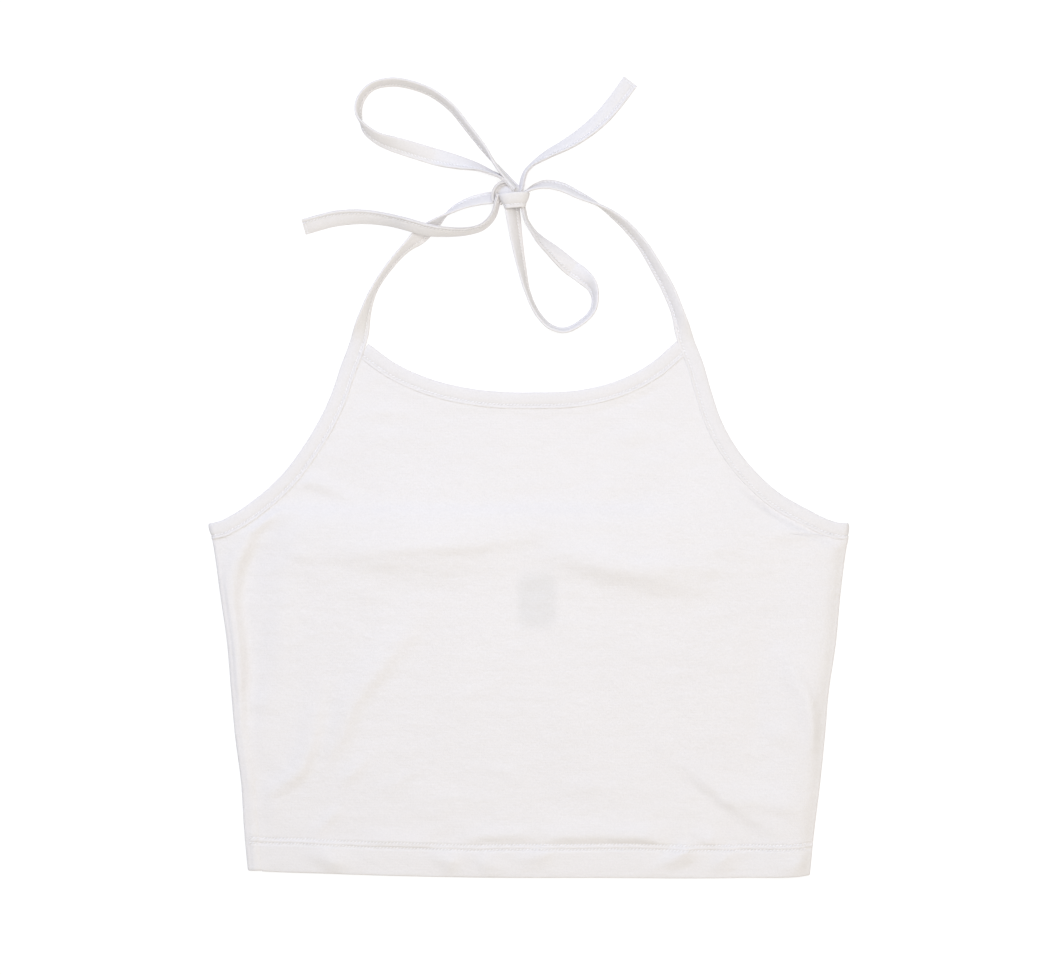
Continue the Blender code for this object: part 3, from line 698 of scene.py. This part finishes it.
# %% Make the front
def front_tube_row(above, sink):
    """One row of the front's tube, sunk this far inside the cloth's face."""
    level = HEM_LEVEL + above
    left = side_x(level, False) + SEAM_INSET - 0.3
    fold = side_x(level, True) - RIGHT_ROLL
    x = np.linspace(left, fold, ACROSS)
    y = level + hem_shift(x, level)
    z = front_top(x, y) - sink
    out_x, out_z = side_roll(1)
    radius = RIGHT_ROLL - sink
    under = np.linspace(fold, side_x(level, True) - SEAM_INSET - 0.3, TUCK_STEPS + 1)[1:]
    x = np.concatenate([x, fold + radius * out_x, under])
    y = np.concatenate([y, np.full(ROLL_STEPS + TUCK_STEPS, y[-1])])
    seam_dip = 0.6 * np.exp(-(((under - under[-1]) / 1.6) ** 2))
    z = np.concatenate([z, z[-1] - radius * (1 - out_z), sink + seam_dip])
    return np.column_stack([x, y, z, *flat_place(x, y, z, ACROSS - 1, sink)])


def front_bib_row(share):
    """One row of the bib, from the tube's top at share 0 to the neck binding at 1."""
    order = np.argsort(neck_edge[:, 0])
    corners = []
    for edge, end, limit in ((left_edge, 0, -1), (right_edge, -1, 1)):
        corner_y = neck_edge[end][1]
        y = TUBE_TOP + (corner_y - TUBE_TOP) * share
        by_height = np.argsort(edge[:, 1])
        heights, places = edge[by_height, 1], edge[by_height, 0]
        tube_x = (
            side_x(TUBE_TOP, False) + SEAM_INSET if limit < 0 else side_x(TUBE_TOP, True) - RIGHT_ROLL
        )
        x = np.interp(y, heights, places)
        x = max(x, tube_x) if limit < 0 else min(x, tube_x)
        corners.append((x, y, np.interp(corner_y, heights, places), corner_y))
    (x0, y0, top_x0, top_y0), (x1, y1, top_x1, top_y1) = corners
    u = np.linspace(0.0, 1.0, ACROSS)
    top_x = top_x0 + (top_x1 - top_x0) * u
    top_y = np.interp(top_x, neck_edge[order, 0], neck_edge[order, 1])
    fall = top_y0 + (top_y1 - top_y0) * u - top_y
    x = x0 + (x1 - x0) * u
    y = y0 + (y1 - y0) * u - fall * blend((share - 0.15) / 0.85)
    bib = np.column_stack([x, y, front_top(x, y), x, y])
    return np.vstack([bib, np.repeat(bib[-1:], ROLL_STEPS + TUCK_STEPS, axis=0)])


tube_course = hem_course()
bib_shares = np.linspace(0.0, 1.0, 62)[1:]
front_table = np.stack(
    [front_tube_row(*step) for step in tube_course] + [front_bib_row(s) for s in bib_shares]
)
front_rows, front_columns = front_table.shape[:2]
front_panel, column, row = cloth_net("front_panel", front_columns, front_rows)
move_net(front_panel, column, row, front_table)
edit_points(front_panel, (row >= len(tube_course)) & (column >= ACROSS))
bpy.ops.mesh.delete(type="VERT")
bpy.ops.object.mode_set(mode="OBJECT")
give_wall(front_panel, CLOTH_WALL)
smooth_shading(front_panel)
front_panel.data.materials.append(panel_jersey)
print("front panel:", triangles(front_panel), "triangles")

# %% [markdown]
# ## The back panel
#
# The back lies flat on the surface, so its face is its underside. At the left it rolls up over
# the side fold and shows from above for the width of a finger, up to the seam. It is made in
# the same way as the front, with fewer columns, because nothing creases it from above.

# %% Make the back
BACK_ACROSS = 90
OVER_STEPS = 12


def back_row(above, sink):
    """One row of the back, sunk this far inside the cloth's face."""
    level = HEM_LEVEL + above
    fold = side_x(level, False) + FOLD_OUTER
    x = np.linspace(side_x(level, True) - SEAM_INSET + 0.3, fold, BACK_ACROSS)
    y = level + hem_shift(x, level)
    relief = 0.3 * np.sum(
        [np.exp(-(((y - read_table(HEM_ROWS, x) - needle_line(x, d)) / 0.75) ** 2)) for d in HEM_NEEDLES],
        axis=0,
    )
    z = sink + relief + 0.5 * np.exp(-(((x - x[0]) / 1.6) ** 2)) + 0.65 * blend((y + 40.5) / 1.8)
    out_x, out_z = side_roll(-1)
    radius = FOLD_OUTER - sink
    over = np.linspace(fold, side_x(level, False) + SEAM_INSET + 0.3, OVER_STEPS + 1)[1:]
    above_hem = np.full(over.shape, y[-1] - read_table(HEM_ROWS, x[-1]))
    top, near = left_side_top(over, np.full(over.shape, y[-1]))
    settle = blend((over - fold) / 3.0)
    top = FOLD_TOP + (top - FOLD_TOP) * settle + hem_relief(over, above_hem) * settle
    seam = over - side_x(y[-1], False) - SEAM_INSET
    top -= 0.35 * np.exp(-(((seam - 0.3) / 1.1) ** 2)) * (y[-1] < -190)
    x = np.concatenate([x, fold + radius * out_x, over])
    y = np.concatenate([y, np.full(ROLL_STEPS + OVER_STEPS, y[-1])])
    z = np.concatenate([z, FOLD_OUTER - radius * out_z, top - sink])
    u, v = flat_place(-x, y, z, BACK_ACROSS - 1, sink)
    return np.column_stack([x, y, z, u, v])


back_table = np.stack([back_row(*step) for step in tube_course])
back_rows, back_columns = back_table.shape[:2]
back_panel, column, row = cloth_net("back_panel", back_columns, back_rows)
move_net(back_panel, column, row, back_table)
give_wall(back_panel, CLOTH_WALL)
smooth_shading(back_panel)
back_panel.data.materials.append(panel_jersey)
print("back panel:", triangles(back_panel), "triangles")

# %% [markdown]
# ## Binding tape
#
# The binding and the straps are a strip of jersey 42 mm wide, folded in four to a tape 10.5 mm
# wide, and topstitched 2.5 mm from its open edge. That edge has two rolled lips with a slit
# between them, the stitches pull a groove into each face, and the other edge is one soft fold.
# A tape is a net again: its columns run along the tape and its rows run round this section. The
# net's two long edges meet, so they are merged, and its ends are filled.

# %% The tape's section and frames
# Half of the section, from the folded edge to the slit. Columns: across, thickness, in mm.
TAPE_SECTION = (
    (-5.25, 0), (-5.14, 0.38), (-4.8, 0.66), (-4.2, 0.84),
    (-3.2, 1.01), (-1.6, 1.09), (0, 1), (1.1, 0.84),
    (1.85, 0.66), (2.35, 0.44), (2.7, 0.36), (3.05, 0.46),
    (3.55, 0.72), (4.15, 0.94), (4.75, 0.9), (5.15, 0.62),
    (5.18, 0.28), (4.6, 0.05),
)
STITCH_ACROSS = 2.7
TAPE_STEP = 1.3
half = np.array(TAPE_SECTION)
section = np.vstack([half, half[::-1] * (1, -1)])[: 2 * len(half) - 1]
section = np.vstack([section, section[:1]])
section_steps = np.linalg.norm(np.diff(section, axis=0), axis=1)
section_run = np.concatenate([[0.0], np.cumsum(section_steps)])
print("the tape's section measures", round(section_run[-1], 1), "mm round")


def unit(vectors):
    return vectors / np.linalg.norm(vectors, axis=-1, keepdims=True)


def tape_frames(path):
    """A tape's course: for each step its middle, and directions along, across and out of it."""
    lean = np.radians(path[:, 2])
    rest = np.abs(np.sin(lean)) * TAPE_WIDTH / 2 + np.abs(np.cos(lean)) * TAPE_THICK / 2
    middle = np.column_stack([path[:, :2], np.maximum(path[:, 3], 0.0) + rest])
    heading = path[:, 4]
    along = np.gradient(middle, axis=0)
    level = np.linalg.norm(along[:, :2], axis=1)
    along[:, 0] = level * np.cos(heading)
    along[:, 1] = level * np.sin(heading)
    along = unit(along)
    side = np.column_stack([-np.sin(heading), np.cos(heading), np.zeros(len(path))])
    side = unit(side - np.sum(side * along, axis=1, keepdims=True) * along)
    up = np.cross(along, side)
    cos, sin = np.cos(lean)[:, None], np.sin(lean)[:, None]
    return np.stack([middle, along, side * cos + up * sin, up * cos - side * sin], axis=1)


def turned_round(frames):
    """The same course, walked from its other end."""
    return frames[::-1] * np.array([1, -1, -1, 1])[None, :, None]


def longer(frames, before, after):
    """The course with straight ends added, this many mm long."""
    first, last = frames[0].copy(), frames[-1].copy()
    first[0] -= first[1] * before
    last[0] += last[1] * after
    ends = ([first[None]] if before else []) + [frames] + ([last[None]] if after else [])
    return np.concatenate(ends)


def course_length(frames):
    steps = np.linalg.norm(np.diff(frames[:, 0], axis=0), axis=1)
    return np.concatenate([[0.0], np.cumsum(steps)])


def frames_at(frames, wanted):
    """The course read at these distances from its start."""
    length = course_length(frames)
    flat = frames.reshape(len(frames), 12)
    read = np.stack([np.interp(wanted, length, value) for value in flat.T], axis=1)
    read = read.reshape(-1, 4, 3)
    read[:, 1:] = unit(read[:, 1:])
    return read


# %% Make a tape along a course
def make_tape(name, frames, stitched, flat_ends=(0.0, 0.0), width=1.0, seed=1.0):
    """A folded tape. Stitched is 1 where its open edge is on its left, and -1 on its right.

    Flat_ends press the tape thinner over this many mm at its start and end."""
    total = course_length(frames)[-1]
    at = np.linspace(0.0, total, max(8, round(total / TAPE_STEP)))
    rings = frames_at(frames, at)
    soft = uneven(at, np.zeros_like(at), 17.0, 1.0, seed)
    press = np.ones_like(at)
    for distance, reach in ((at, flat_ends[0]), (total - at, flat_ends[1])):
        if reach:
            press *= 0.45 + 0.55 * blend(distance / reach)
    across = section[None, :, 0] * stitched * width * (1 + 0.02 * soft[:, None])
    pucker = 1 + 0.10 * uneven(at[:, None], section[None, :, 0] * 1.0, 6.0, 5.0, seed + 5.0)
    thick = section[None, :, 1] * press[:, None] * pucker
    table = (
        rings[:, None, 0]
        + across[:, :, None] * rings[:, None, 2]
        + thick[:, :, None] * rings[:, None, 3]
    )
    # A leaning tape's lower edge spreads on the surface and doesn't go through it.
    table[:, :, 2] = np.maximum(table[:, :, 2], 0.0)
    flat = np.broadcast_arrays(at[:, None], section_run[None, :])
    table = np.concatenate([table, np.stack(flat, axis=2)], axis=2)
    piece, column, row = cloth_net(name, len(at), len(section))
    move_net(piece, column, row, table.transpose(1, 0, 2))
    edit_points(piece, np.ones(len(column), bool))
    bpy.ops.mesh.remove_doubles(threshold=1e-7)
    bpy.ops.mesh.select_all(action="SELECT")
    bpy.ops.mesh.fill_holes(sides=0)
    bpy.ops.mesh.select_all(action="SELECT")
    bpy.ops.mesh.normals_make_consistent(inside=False)
    bpy.ops.object.mode_set(mode="OBJECT")
    smooth_shading(piece, 50)
    piece.data.materials.append(tape_jersey)
    print(name + ":", round(total), "mm long,", triangles(piece), "triangles")
    return piece


# Each tape's piece, the nodes that it stands for, its course, its open side and its width's share.
tapes = {}


def add_tape(name, nodes, course, stitched, width=1.0, **finish):
    piece = make_tape(name, course, stitched, width=width, **finish)
    tapes[name] = (piece, nodes, course, stitched, width)


# %% [markdown]
# ## The long strip
#
# One strip of tape runs from the knot down the left strap, along the left armhole, round the
# side fold, along the top of the back, round the other side and up again to the knot. Making it
# as one piece keeps its edges unbroken, as they are on the real garment.

# %% Course of the long strip
def side_turn(frames):
    """Adds a half turn over the garment's side to the end of a course."""
    middle, along, across, out = frames[-1]
    turns = np.linspace(0.0, pi, 11)[1:, None]
    centre = middle - out * FOLD_RADIUS
    points = centre + FOLD_RADIUS * (along * np.sin(turns) + out * np.cos(turns))
    heading = along * np.cos(turns) - out * np.sin(turns)
    outward = out * np.cos(turns) + along * np.sin(turns)
    arc = np.stack([points, heading, np.broadcast_to(across, points.shape), outward], axis=1)
    return np.concatenate([frames, arc])


left_side = side_turn(turned_round(tape_frames(smooth_rows(LEFT_STRIP_ROWS, TAPE_STEP))))
right_side = side_turn(turned_round(tape_frames(smooth_rows(RIGHT_STRIP_ROWS, TAPE_STEP))))
right_side = turned_round(right_side)

start, end = left_side[-1, 0], right_side[0, 0]
x = np.linspace(start[0] + 1.5, end[0] - 1.5, 260)
y = BACK_TAPE_Y + (start[1] - BACK_TAPE_Y) * (1 - blend((x - start[0]) / 16))
y += (end[1] - BACK_TAPE_Y) * (1 - blend((end[0] - x) / 16))
z = np.full(x.shape, TAPE_THICK / 2)
points = np.column_stack([x, y, z])
along = unit(np.gradient(points, axis=0))
out = np.broadcast_to([0.0, 0.0, -1.0], points.shape)
back_run = np.stack([points, along, np.cross(out, along), out], axis=1)
strip_course = np.concatenate([left_side, back_run, right_side])
STRIP_NODES = (
    "armhole_binding_left", "armhole_binding_right", "back_binding", "strap_left", "strap_right",
)
add_tape("long_strip", STRIP_NODES, strip_course, 1, seed=2.0)

# %% Neck binding
# Its ends go into the long strip, which is folded over them, so they are pressed thin there.
neck_course = longer(tape_frames(smooth_rows(NECK_ROWS, TAPE_STEP)), 2.5, 3.0)
add_tape("neck_tape", ["neck_binding"], neck_course, -1, flat_ends=(4.0, 4.0), seed=3.0)

# %% [markdown]
# ## The bow
#
# The straps are soft, so in the bow they turn from lying flat to standing on edge and back. A
# lean for each place on the course gives that: at 0 the tape lies flat, at 75 degrees it nearly
# stands, and past 90 it shows its other face. Each tape's course was read from the photo, from
# where it leaves the knot to its free end or back to the knot.

# %% Courses of the bow
# Columns: x, y, lean, lift.
TAIL_LEFT_ROWS = (
    (-141.4, 157.8, 26, 0), (-119.7, 163.2, 32, 0), (-100.5, 163.8, 42, 0), (-87, 161.6, 50, 2.5),
    (-75, 158.2, 50, 7.6), (-66.5, 155.6, 50, 8.6), (-56, 153.9, 58, 8.6), (-46, 153.8, 68, 5),
    (-36.9, 155, 74, 0.8), (-28.7, 157.8, 75, 0), (-22.2, 164.6, 76, 0), (-19.4, 173.6, 76, 0),
)
TAIL_RIGHT_ROWS = (
    (-5, 180.6, -76, 0), (-1.4, 192.8, -77, 0), (2.2, 196.6, -76, 0), (7.2, 200.2, -66, 0),
    (13.5, 204.1, -56, 0), (21.4, 208.2, -46, 0), (33.4, 215.7, -34, 0), (46.3, 226.8, -22, 0),
    (52.9, 234.4, -14, 0), (64.3, 249.7, 0, 0),
)
LOOP_LEFT_ROWS = (
    (-10.2, 184.9, -110, 0), (-15, 190.1, -107, 0), (-20.7, 196.9, -98, 0), (-26.4, 204.9, -80, 0),
    (-37.5, 219.2, -74, 0), (-48.8, 233, -73, 0), (-60.8, 241.9, -73, 0), (-72, 246.4, -72, 0),
    (-86, 248.6, -72, 0), (-99, 245.3, -75, 0), (-106.2, 236, -72, 0), (-106.6, 227.5, -77, 0),
    (-102.6, 219.6, -109, 0), (-94.6, 213.4, -126, 0), (-86, 210.2, -143, 0), (-76, 207.2, -157, 0),
    (-61.5, 202.9, -176, 0), (-42, 197.8, -216, 0), (-30.6, 194.8, -242, 0), (-23, 191.6, -254, 0),
    (-18, 189.4, -258, 0), (-13, 185.4, -258, 0), (-9.2, 180.6, -258, 0), (-7.4, 176.6, -258, 0),
)
LOOP_RIGHT_ROWS = (
    (-10.2, 168.4, -30, 2.6), (-7.2, 147.4, -49, 0), (-4.4, 132.3, -62, 0), (-0.8, 117.2, -76, 0),
    (6.4, 102.1, -76, 0), (13.2, 95.2, -75, 0), (21.9, 92.6, -74, 0), (33.2, 97.6, -74, 0),
    (40.8, 106, -74, 0), (41.9, 114, -70, 0), (40, 120.6, -52, 0), (34.3, 126.8, -22, 0),
    (26.8, 132.4, 4, 0), (14.4, 143.4, 40, 0), (7.2, 149.8, 60, 0), (2.6, 155.4, 75, 0),
    (-1.4, 161.9, 79, 0), (-3, 168.4, 80, 0),
)
KNOT_ARC_ROWS = (
    (-20.2, 173.6, 60, 0), (-20.4, 177.4, 60, 0), (-19.2, 180.8, 60, 0), (-16.4, 183.2, 60, 0),
    (-12.8, 183.6, 60, 0),
)


def bow_course(rows, before=0.0, after=0.0):
    return longer(tape_frames(smooth_rows(rows, TAPE_STEP)), before, after)


# Columns: node, rows of its course, straight ends added, side of its open edge, ends pressed thin,
# seed of its unevenness.
BOW = (
    ("tail_left", TAIL_LEFT_ROWS, (0.0, 4.0), 1, (3.0, 0.0), 4.0),
    ("tail_right", TAIL_RIGHT_ROWS, (4.0, 0.0), -1, (0.0, 3.0), 5.0),
    ("loop_upper_left", LOOP_LEFT_ROWS, (4.0, 0.0), 1, (0.0, 0.0), 6.0),
    ("loop_lower_right", LOOP_RIGHT_ROWS, (4.0, 4.0), 1, (0.0, 0.0), 7.0),
    ("knot_arc", KNOT_ARC_ROWS, (0.0, 0.0), 1, (0.0, 0.0), 8.0),
)
for node, rows, added, stitched, pressed, seed in BOW:
    course = bow_course(rows, *added)
    add_tape(node + "_tape", [node], course, stitched, flat_ends=pressed, seed=seed)

# %% The knot
# The last turn of strap goes once round the strands, as a flattened ring that is a little wider
# at its top edge, with its stitched edge towards the garment. The turn before it comes out above
# it as a rounded shoulder.
def ring_course(middle, half_width, half_height, tilt, flare, squareness=0.75):
    """A closed ring of tape round the strands, standing on the surface. Flare is in degrees."""
    turns = np.linspace(-pi / 2, 1.5 * pi, 61)
    cos, sin = np.cos(turns), np.sin(turns)
    foot = TAPE_THICK / 2 + TAPE_WIDTH / 2 * np.sin(radians(flare))
    x = middle[0] + half_width * np.sign(cos) * np.abs(cos) ** squareness
    z = half_height + foot + half_height * np.sign(sin) * np.abs(sin) ** squareness
    y = middle[1] + tilt * (x - middle[0])
    points = np.column_stack([x, y, z])
    length = np.concatenate([[0], np.cumsum(np.linalg.norm(np.diff(points, axis=0), axis=1))])
    even = np.linspace(0, length[-1], 61)
    points = np.stack([np.interp(even, length, value) for value in points.T], axis=1)
    along = unit(np.gradient(points, axis=0))
    across = np.broadcast_to(unit(np.array([-tilt, 1.0, 0.0])), points.shape)
    across = unit(across - np.sum(across * along, axis=1, keepdims=True) * along)
    out = np.cross(along, across)
    cos, sin = np.cos(radians(flare)), np.sin(radians(flare))
    outward = out * np.sign(np.sum(out * (points - points.mean(axis=0)), axis=1, keepdims=True))
    across, out = across * cos + outward * sin, out * cos - across * sin * np.sign(
        np.sum(out * outward, axis=1, keepdims=True)
    )
    return np.stack([points, along, across, out], axis=1)


KNOT_TURN_ROWS = (
    (-19.4, 175.4, -32, 0.8), (-16.8, 178.4, -34, 3.8), (-12.8, 179.8, -34, 5.2), (-9, 179, -32, 4.8),
    (-6, 176.8, -30, 3.2),
)
knot_wrap_course = ring_course((-8.7, 173.8), 7.4, 5.0, 0.07, 22.0)
add_tape("knot_wrap", ["knot_band"], knot_wrap_course, -1, width=0.95, seed=9.0)
add_tape("knot_turn_tape", ["knot_turn"], bow_course(KNOT_TURN_ROWS), -1, seed=10.0)

# %% [markdown]
# ## Topstitching
#
# Each stitch is a short length of thread with rounded ends, a little over 2 mm from the next.
# One is modelled from a six-sided cylinder whose ends are extruded and narrowed. It has only 20
# faces, because it is copied about 2,500 times. The copies are worked out together with arrays
# and joined as one mesh for each part.

# %% One stitch
STITCH_PITCH = 2.15
STITCH_LENGTH = 1.85
THREAD_RADIUS = 0.34

bpy.ops.object.select_all(action="DESELECT")
bpy.ops.mesh.primitive_cylinder_add(
    vertices=6, radius=THREAD_RADIUS, depth=STITCH_LENGTH * 0.55, end_fill_type="NGON"
)
stitch = bpy.context.object
stitch.name = "stitch"
for end in (-1, 1):
    heights = np.array([vertex.co.z * end for vertex in stitch.data.vertices])
    edit_points(stitch, heights > heights.max() - 1e-6)
    bpy.ops.mesh.extrude_region_move(
        TRANSFORM_OT_translate={"value": (0.0, 0.0, end * STITCH_LENGTH * 0.22)}
    )
    bpy.ops.transform.resize(value=(0.5, 0.5, 1.0))
    bpy.ops.object.mode_set(mode="OBJECT")
stitch_points = np.array([vertex.co[:] for vertex in stitch.data.vertices])
stitch_faces = [tuple(face.vertices) for face in stitch.data.polygons]
bpy.data.objects.remove(stitch)
print("one stitch has", len(stitch_faces), "faces")


# %% Sew along lines
def sew(name, lines):
    """Joined stitches. Each line holds the middle, along and outward direction of each stitch."""
    middle, along, out = (np.concatenate(values) for values in zip(*lines))
    along = unit(along)
    out = unit(out - np.sum(out * along, axis=1, keepdims=True) * along)
    side = np.cross(out, along)
    corners = (
        stitch_points[None, :, 0, None] * side[:, None]
        + stitch_points[None, :, 1, None] * out[:, None] * 0.8
        + stitch_points[None, :, 2, None] * along[:, None]
        + middle[:, None]
    )
    count = len(stitch_points)
    faces = [
        tuple(index + k * count for index in face) for k in range(len(middle)) for face in stitch_faces
    ]
    mesh = bpy.data.meshes.new(name)
    mesh.from_pydata(corners.reshape(-1, 3) * MM, [], faces)
    piece = bpy.data.objects.new(name, mesh)
    bpy.context.collection.objects.link(piece)
    edit_points(piece, np.ones(len(mesh.vertices), bool))
    bpy.ops.mesh.normals_make_consistent(inside=False)
    bpy.ops.object.mode_set(mode="OBJECT")
    smooth_shading(piece, 70)
    piece.data.materials.append(thread)
    print(name + ":", len(middle), "stitches,", triangles(piece), "triangles")
    return piece


def tape_line(frames, stitched, slant=20.0, width=1.0, trim=(1.0, 1.0)):
    """A line of stitches on each face of a tape, along its open edge."""
    total = course_length(frames)[-1]
    at = np.arange(trim[0], total - trim[1], STITCH_PITCH)
    places = frames_at(frames, at)
    lines = []
    for face in (1, -1):
        middle = places[:, 0] + places[:, 2] * stitched * STITCH_ACROSS * width
        middle = middle + places[:, 3] * face * 0.58
        angle = radians(slant)
        along = places[:, 1] * np.cos(angle) + places[:, 2] * np.sin(angle)
        lines.append((middle, along, places[:, 3] * face))
    return lines


def end_line(frames, end, inset=1.6):
    """A line of stitches across a tape's free end."""
    total = course_length(frames)[-1]
    place = frames_at(frames, [inset if end == 0 else total - inset])[0]
    spots = np.arange(-4.2, 2.9, STITCH_PITCH)
    middle = place[0] + spots[:, None] * place[2]
    lines = []
    for face in (1, -1):
        along = np.repeat(place[2:3], len(spots), 0)
        lines.append((middle + place[3] * face * 0.72, along, np.repeat(place[3:4] * face, len(spots), 0)))
    return lines


# Two short tapes inside the knot show no stitches.
UNSEWN = ("knot_arc_tape", "knot_turn_tape")
tape_stitches = []
for name, (piece, nodes, course, stitched, width) in tapes.items():
    if name not in UNSEWN:
        tape_stitches += tape_line(course, stitched, width=width)
tape_stitches += end_line(tapes["tail_left_tape"][2], 0) + end_line(tapes["tail_right_tape"][2], 1)
topstitching = sew("tape_topstitching", tape_stitches)

# %% Hem stitches
HEM_SLANT = radians(42)


def hem_line(depth):
    """A row of slanted stitches along the front's hem, from the left fold to the right one."""
    x = np.arange(-175.0, 174.0, STITCH_PITCH)
    y = read_table(HEM_ROWS, x) + needle_line(x, depth)
    seam = side_x(y, False) + SEAM_INSET
    keep = np.abs(x - seam) > 1.0
    x, y = x[keep], y[keep]
    z = front_top(x, y)
    z = np.where(x < seam[keep], left_side_top(x, y)[0], z) + 0.25
    middle = np.column_stack([x, y, z])
    along = np.broadcast_to([np.cos(HEM_SLANT), np.sin(HEM_SLANT), 0.0], middle.shape)
    out = np.broadcast_to([0.0, 0.0, 1.0], middle.shape)
    return middle, along, out


def back_hem_line(depth):
    """The same row on the back's face, which is its underside."""
    x = np.arange(-172.0, 166.0, STITCH_PITCH)
    y = read_table(HEM_ROWS, x) + needle_line(x, depth)
    middle = np.column_stack([x, y, np.full(x.shape, THREAD_RADIUS)])
    along = np.broadcast_to([np.cos(HEM_SLANT), -np.sin(HEM_SLANT), 0.0], middle.shape)
    out = np.broadcast_to([0.0, 0.0, -1.0], middle.shape)
    return middle, along, out


front_hem_stitching = sew("front_hem_stitching", [hem_line(depth) for depth in HEM_NEEDLES])
back_hem_stitching = sew("back_hem_stitching", [back_hem_line(depth) for depth in HEM_NEEDLES])

# %% [markdown]
# ## What each piece stands for
#
# Every piece rides on the imported model's one body, and each panel and tape hides the solid
# that it stands for.

def declare(piece, nodes):
    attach(piece, "root")
    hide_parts(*nodes)


declare(front_panel, ["front"])
declare(back_panel, ["back"])
for piece, nodes, course, *_ in tapes.values():
    declare(piece, nodes)
for piece in (topstitching, front_hem_stitching, back_hem_stitching):
    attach(piece, "root")

# %% [markdown]
# ## Surface and light
#
# The photo's background is bare white, with no shadow. A sheet of white acrylic that is lit from
# behind gives that: it glows a step brighter than the cloth, and its glow fills the shadows at
# the garment's edges. Most light on the cloth comes from a panel overhead. Two weak softboxes
# show its relief: a cool one at the top left of the picture, and a warm one at the bottom right,
# so slopes that face up are bluish and slopes that face down are brownish.

# %% The surface
bpy.ops.object.select_all(action="DESELECT")
bpy.ops.mesh.primitive_plane_add(size=6.0, location=(0.0, 0.0, -0.15 * MM))
table_top = bpy.context.object
table_top.name = "table_top"
acrylic, acrylic_tree, acrylic_shader = new_material("backlit_white_acrylic")
acrylic_shader.inputs["Base Color"].default_value = linear("#8C8C8C")
acrylic_shader.inputs["Roughness"].default_value = 1.0
acrylic_shader.inputs["Specular IOR Level"].default_value = 0.0
acrylic_shader.inputs["Emission Color"].default_value = linear("#FFFFFF")
acrylic_shader.inputs["Emission Strength"].default_value = 0.78
table_top.data.materials.append(acrylic)

# %% The lights
# Columns: name, place, size in m, power in W, colour.
LIGHTS = (
    ("cool_softbox", (-0.90, 1.30, 1.03), 1.2, 14.5, "#C4D4FF"),
    ("warm_softbox", (0.90, -1.20, 0.75), 1.2, 4.6, "#FFECD8"),
    ("overhead_panel", (0.06, 0.10, 1.15), 1.0, 9.9, "#FEFFFD"),
)
for name, place, size, power, tint in LIGHTS:
    aim = (-Vector(place)).to_track_quat("-Z", "Y").to_euler()
    bpy.ops.object.light_add(type="AREA", location=place, rotation=aim)
    lamp = bpy.context.object
    lamp.name = name
    lamp.data.shape = "DISK"
    lamp.data.size = size
    lamp.data.energy = power
    lamp.data.color = linear(tint)[:3]
    lamp.visible_camera = False

world = bpy.data.worlds.new("pale_room")
bpy.context.scene.world = world
world.use_nodes = True
world.node_tree.nodes["Background"].inputs["Color"].default_value = linear("#FFFFFA")
world.node_tree.nodes["Background"].inputs["Strength"].default_value = 0.45
bpy.context.scene.view_settings.view_transform = "Standard"
bpy.context.scene.view_settings.look = "None"
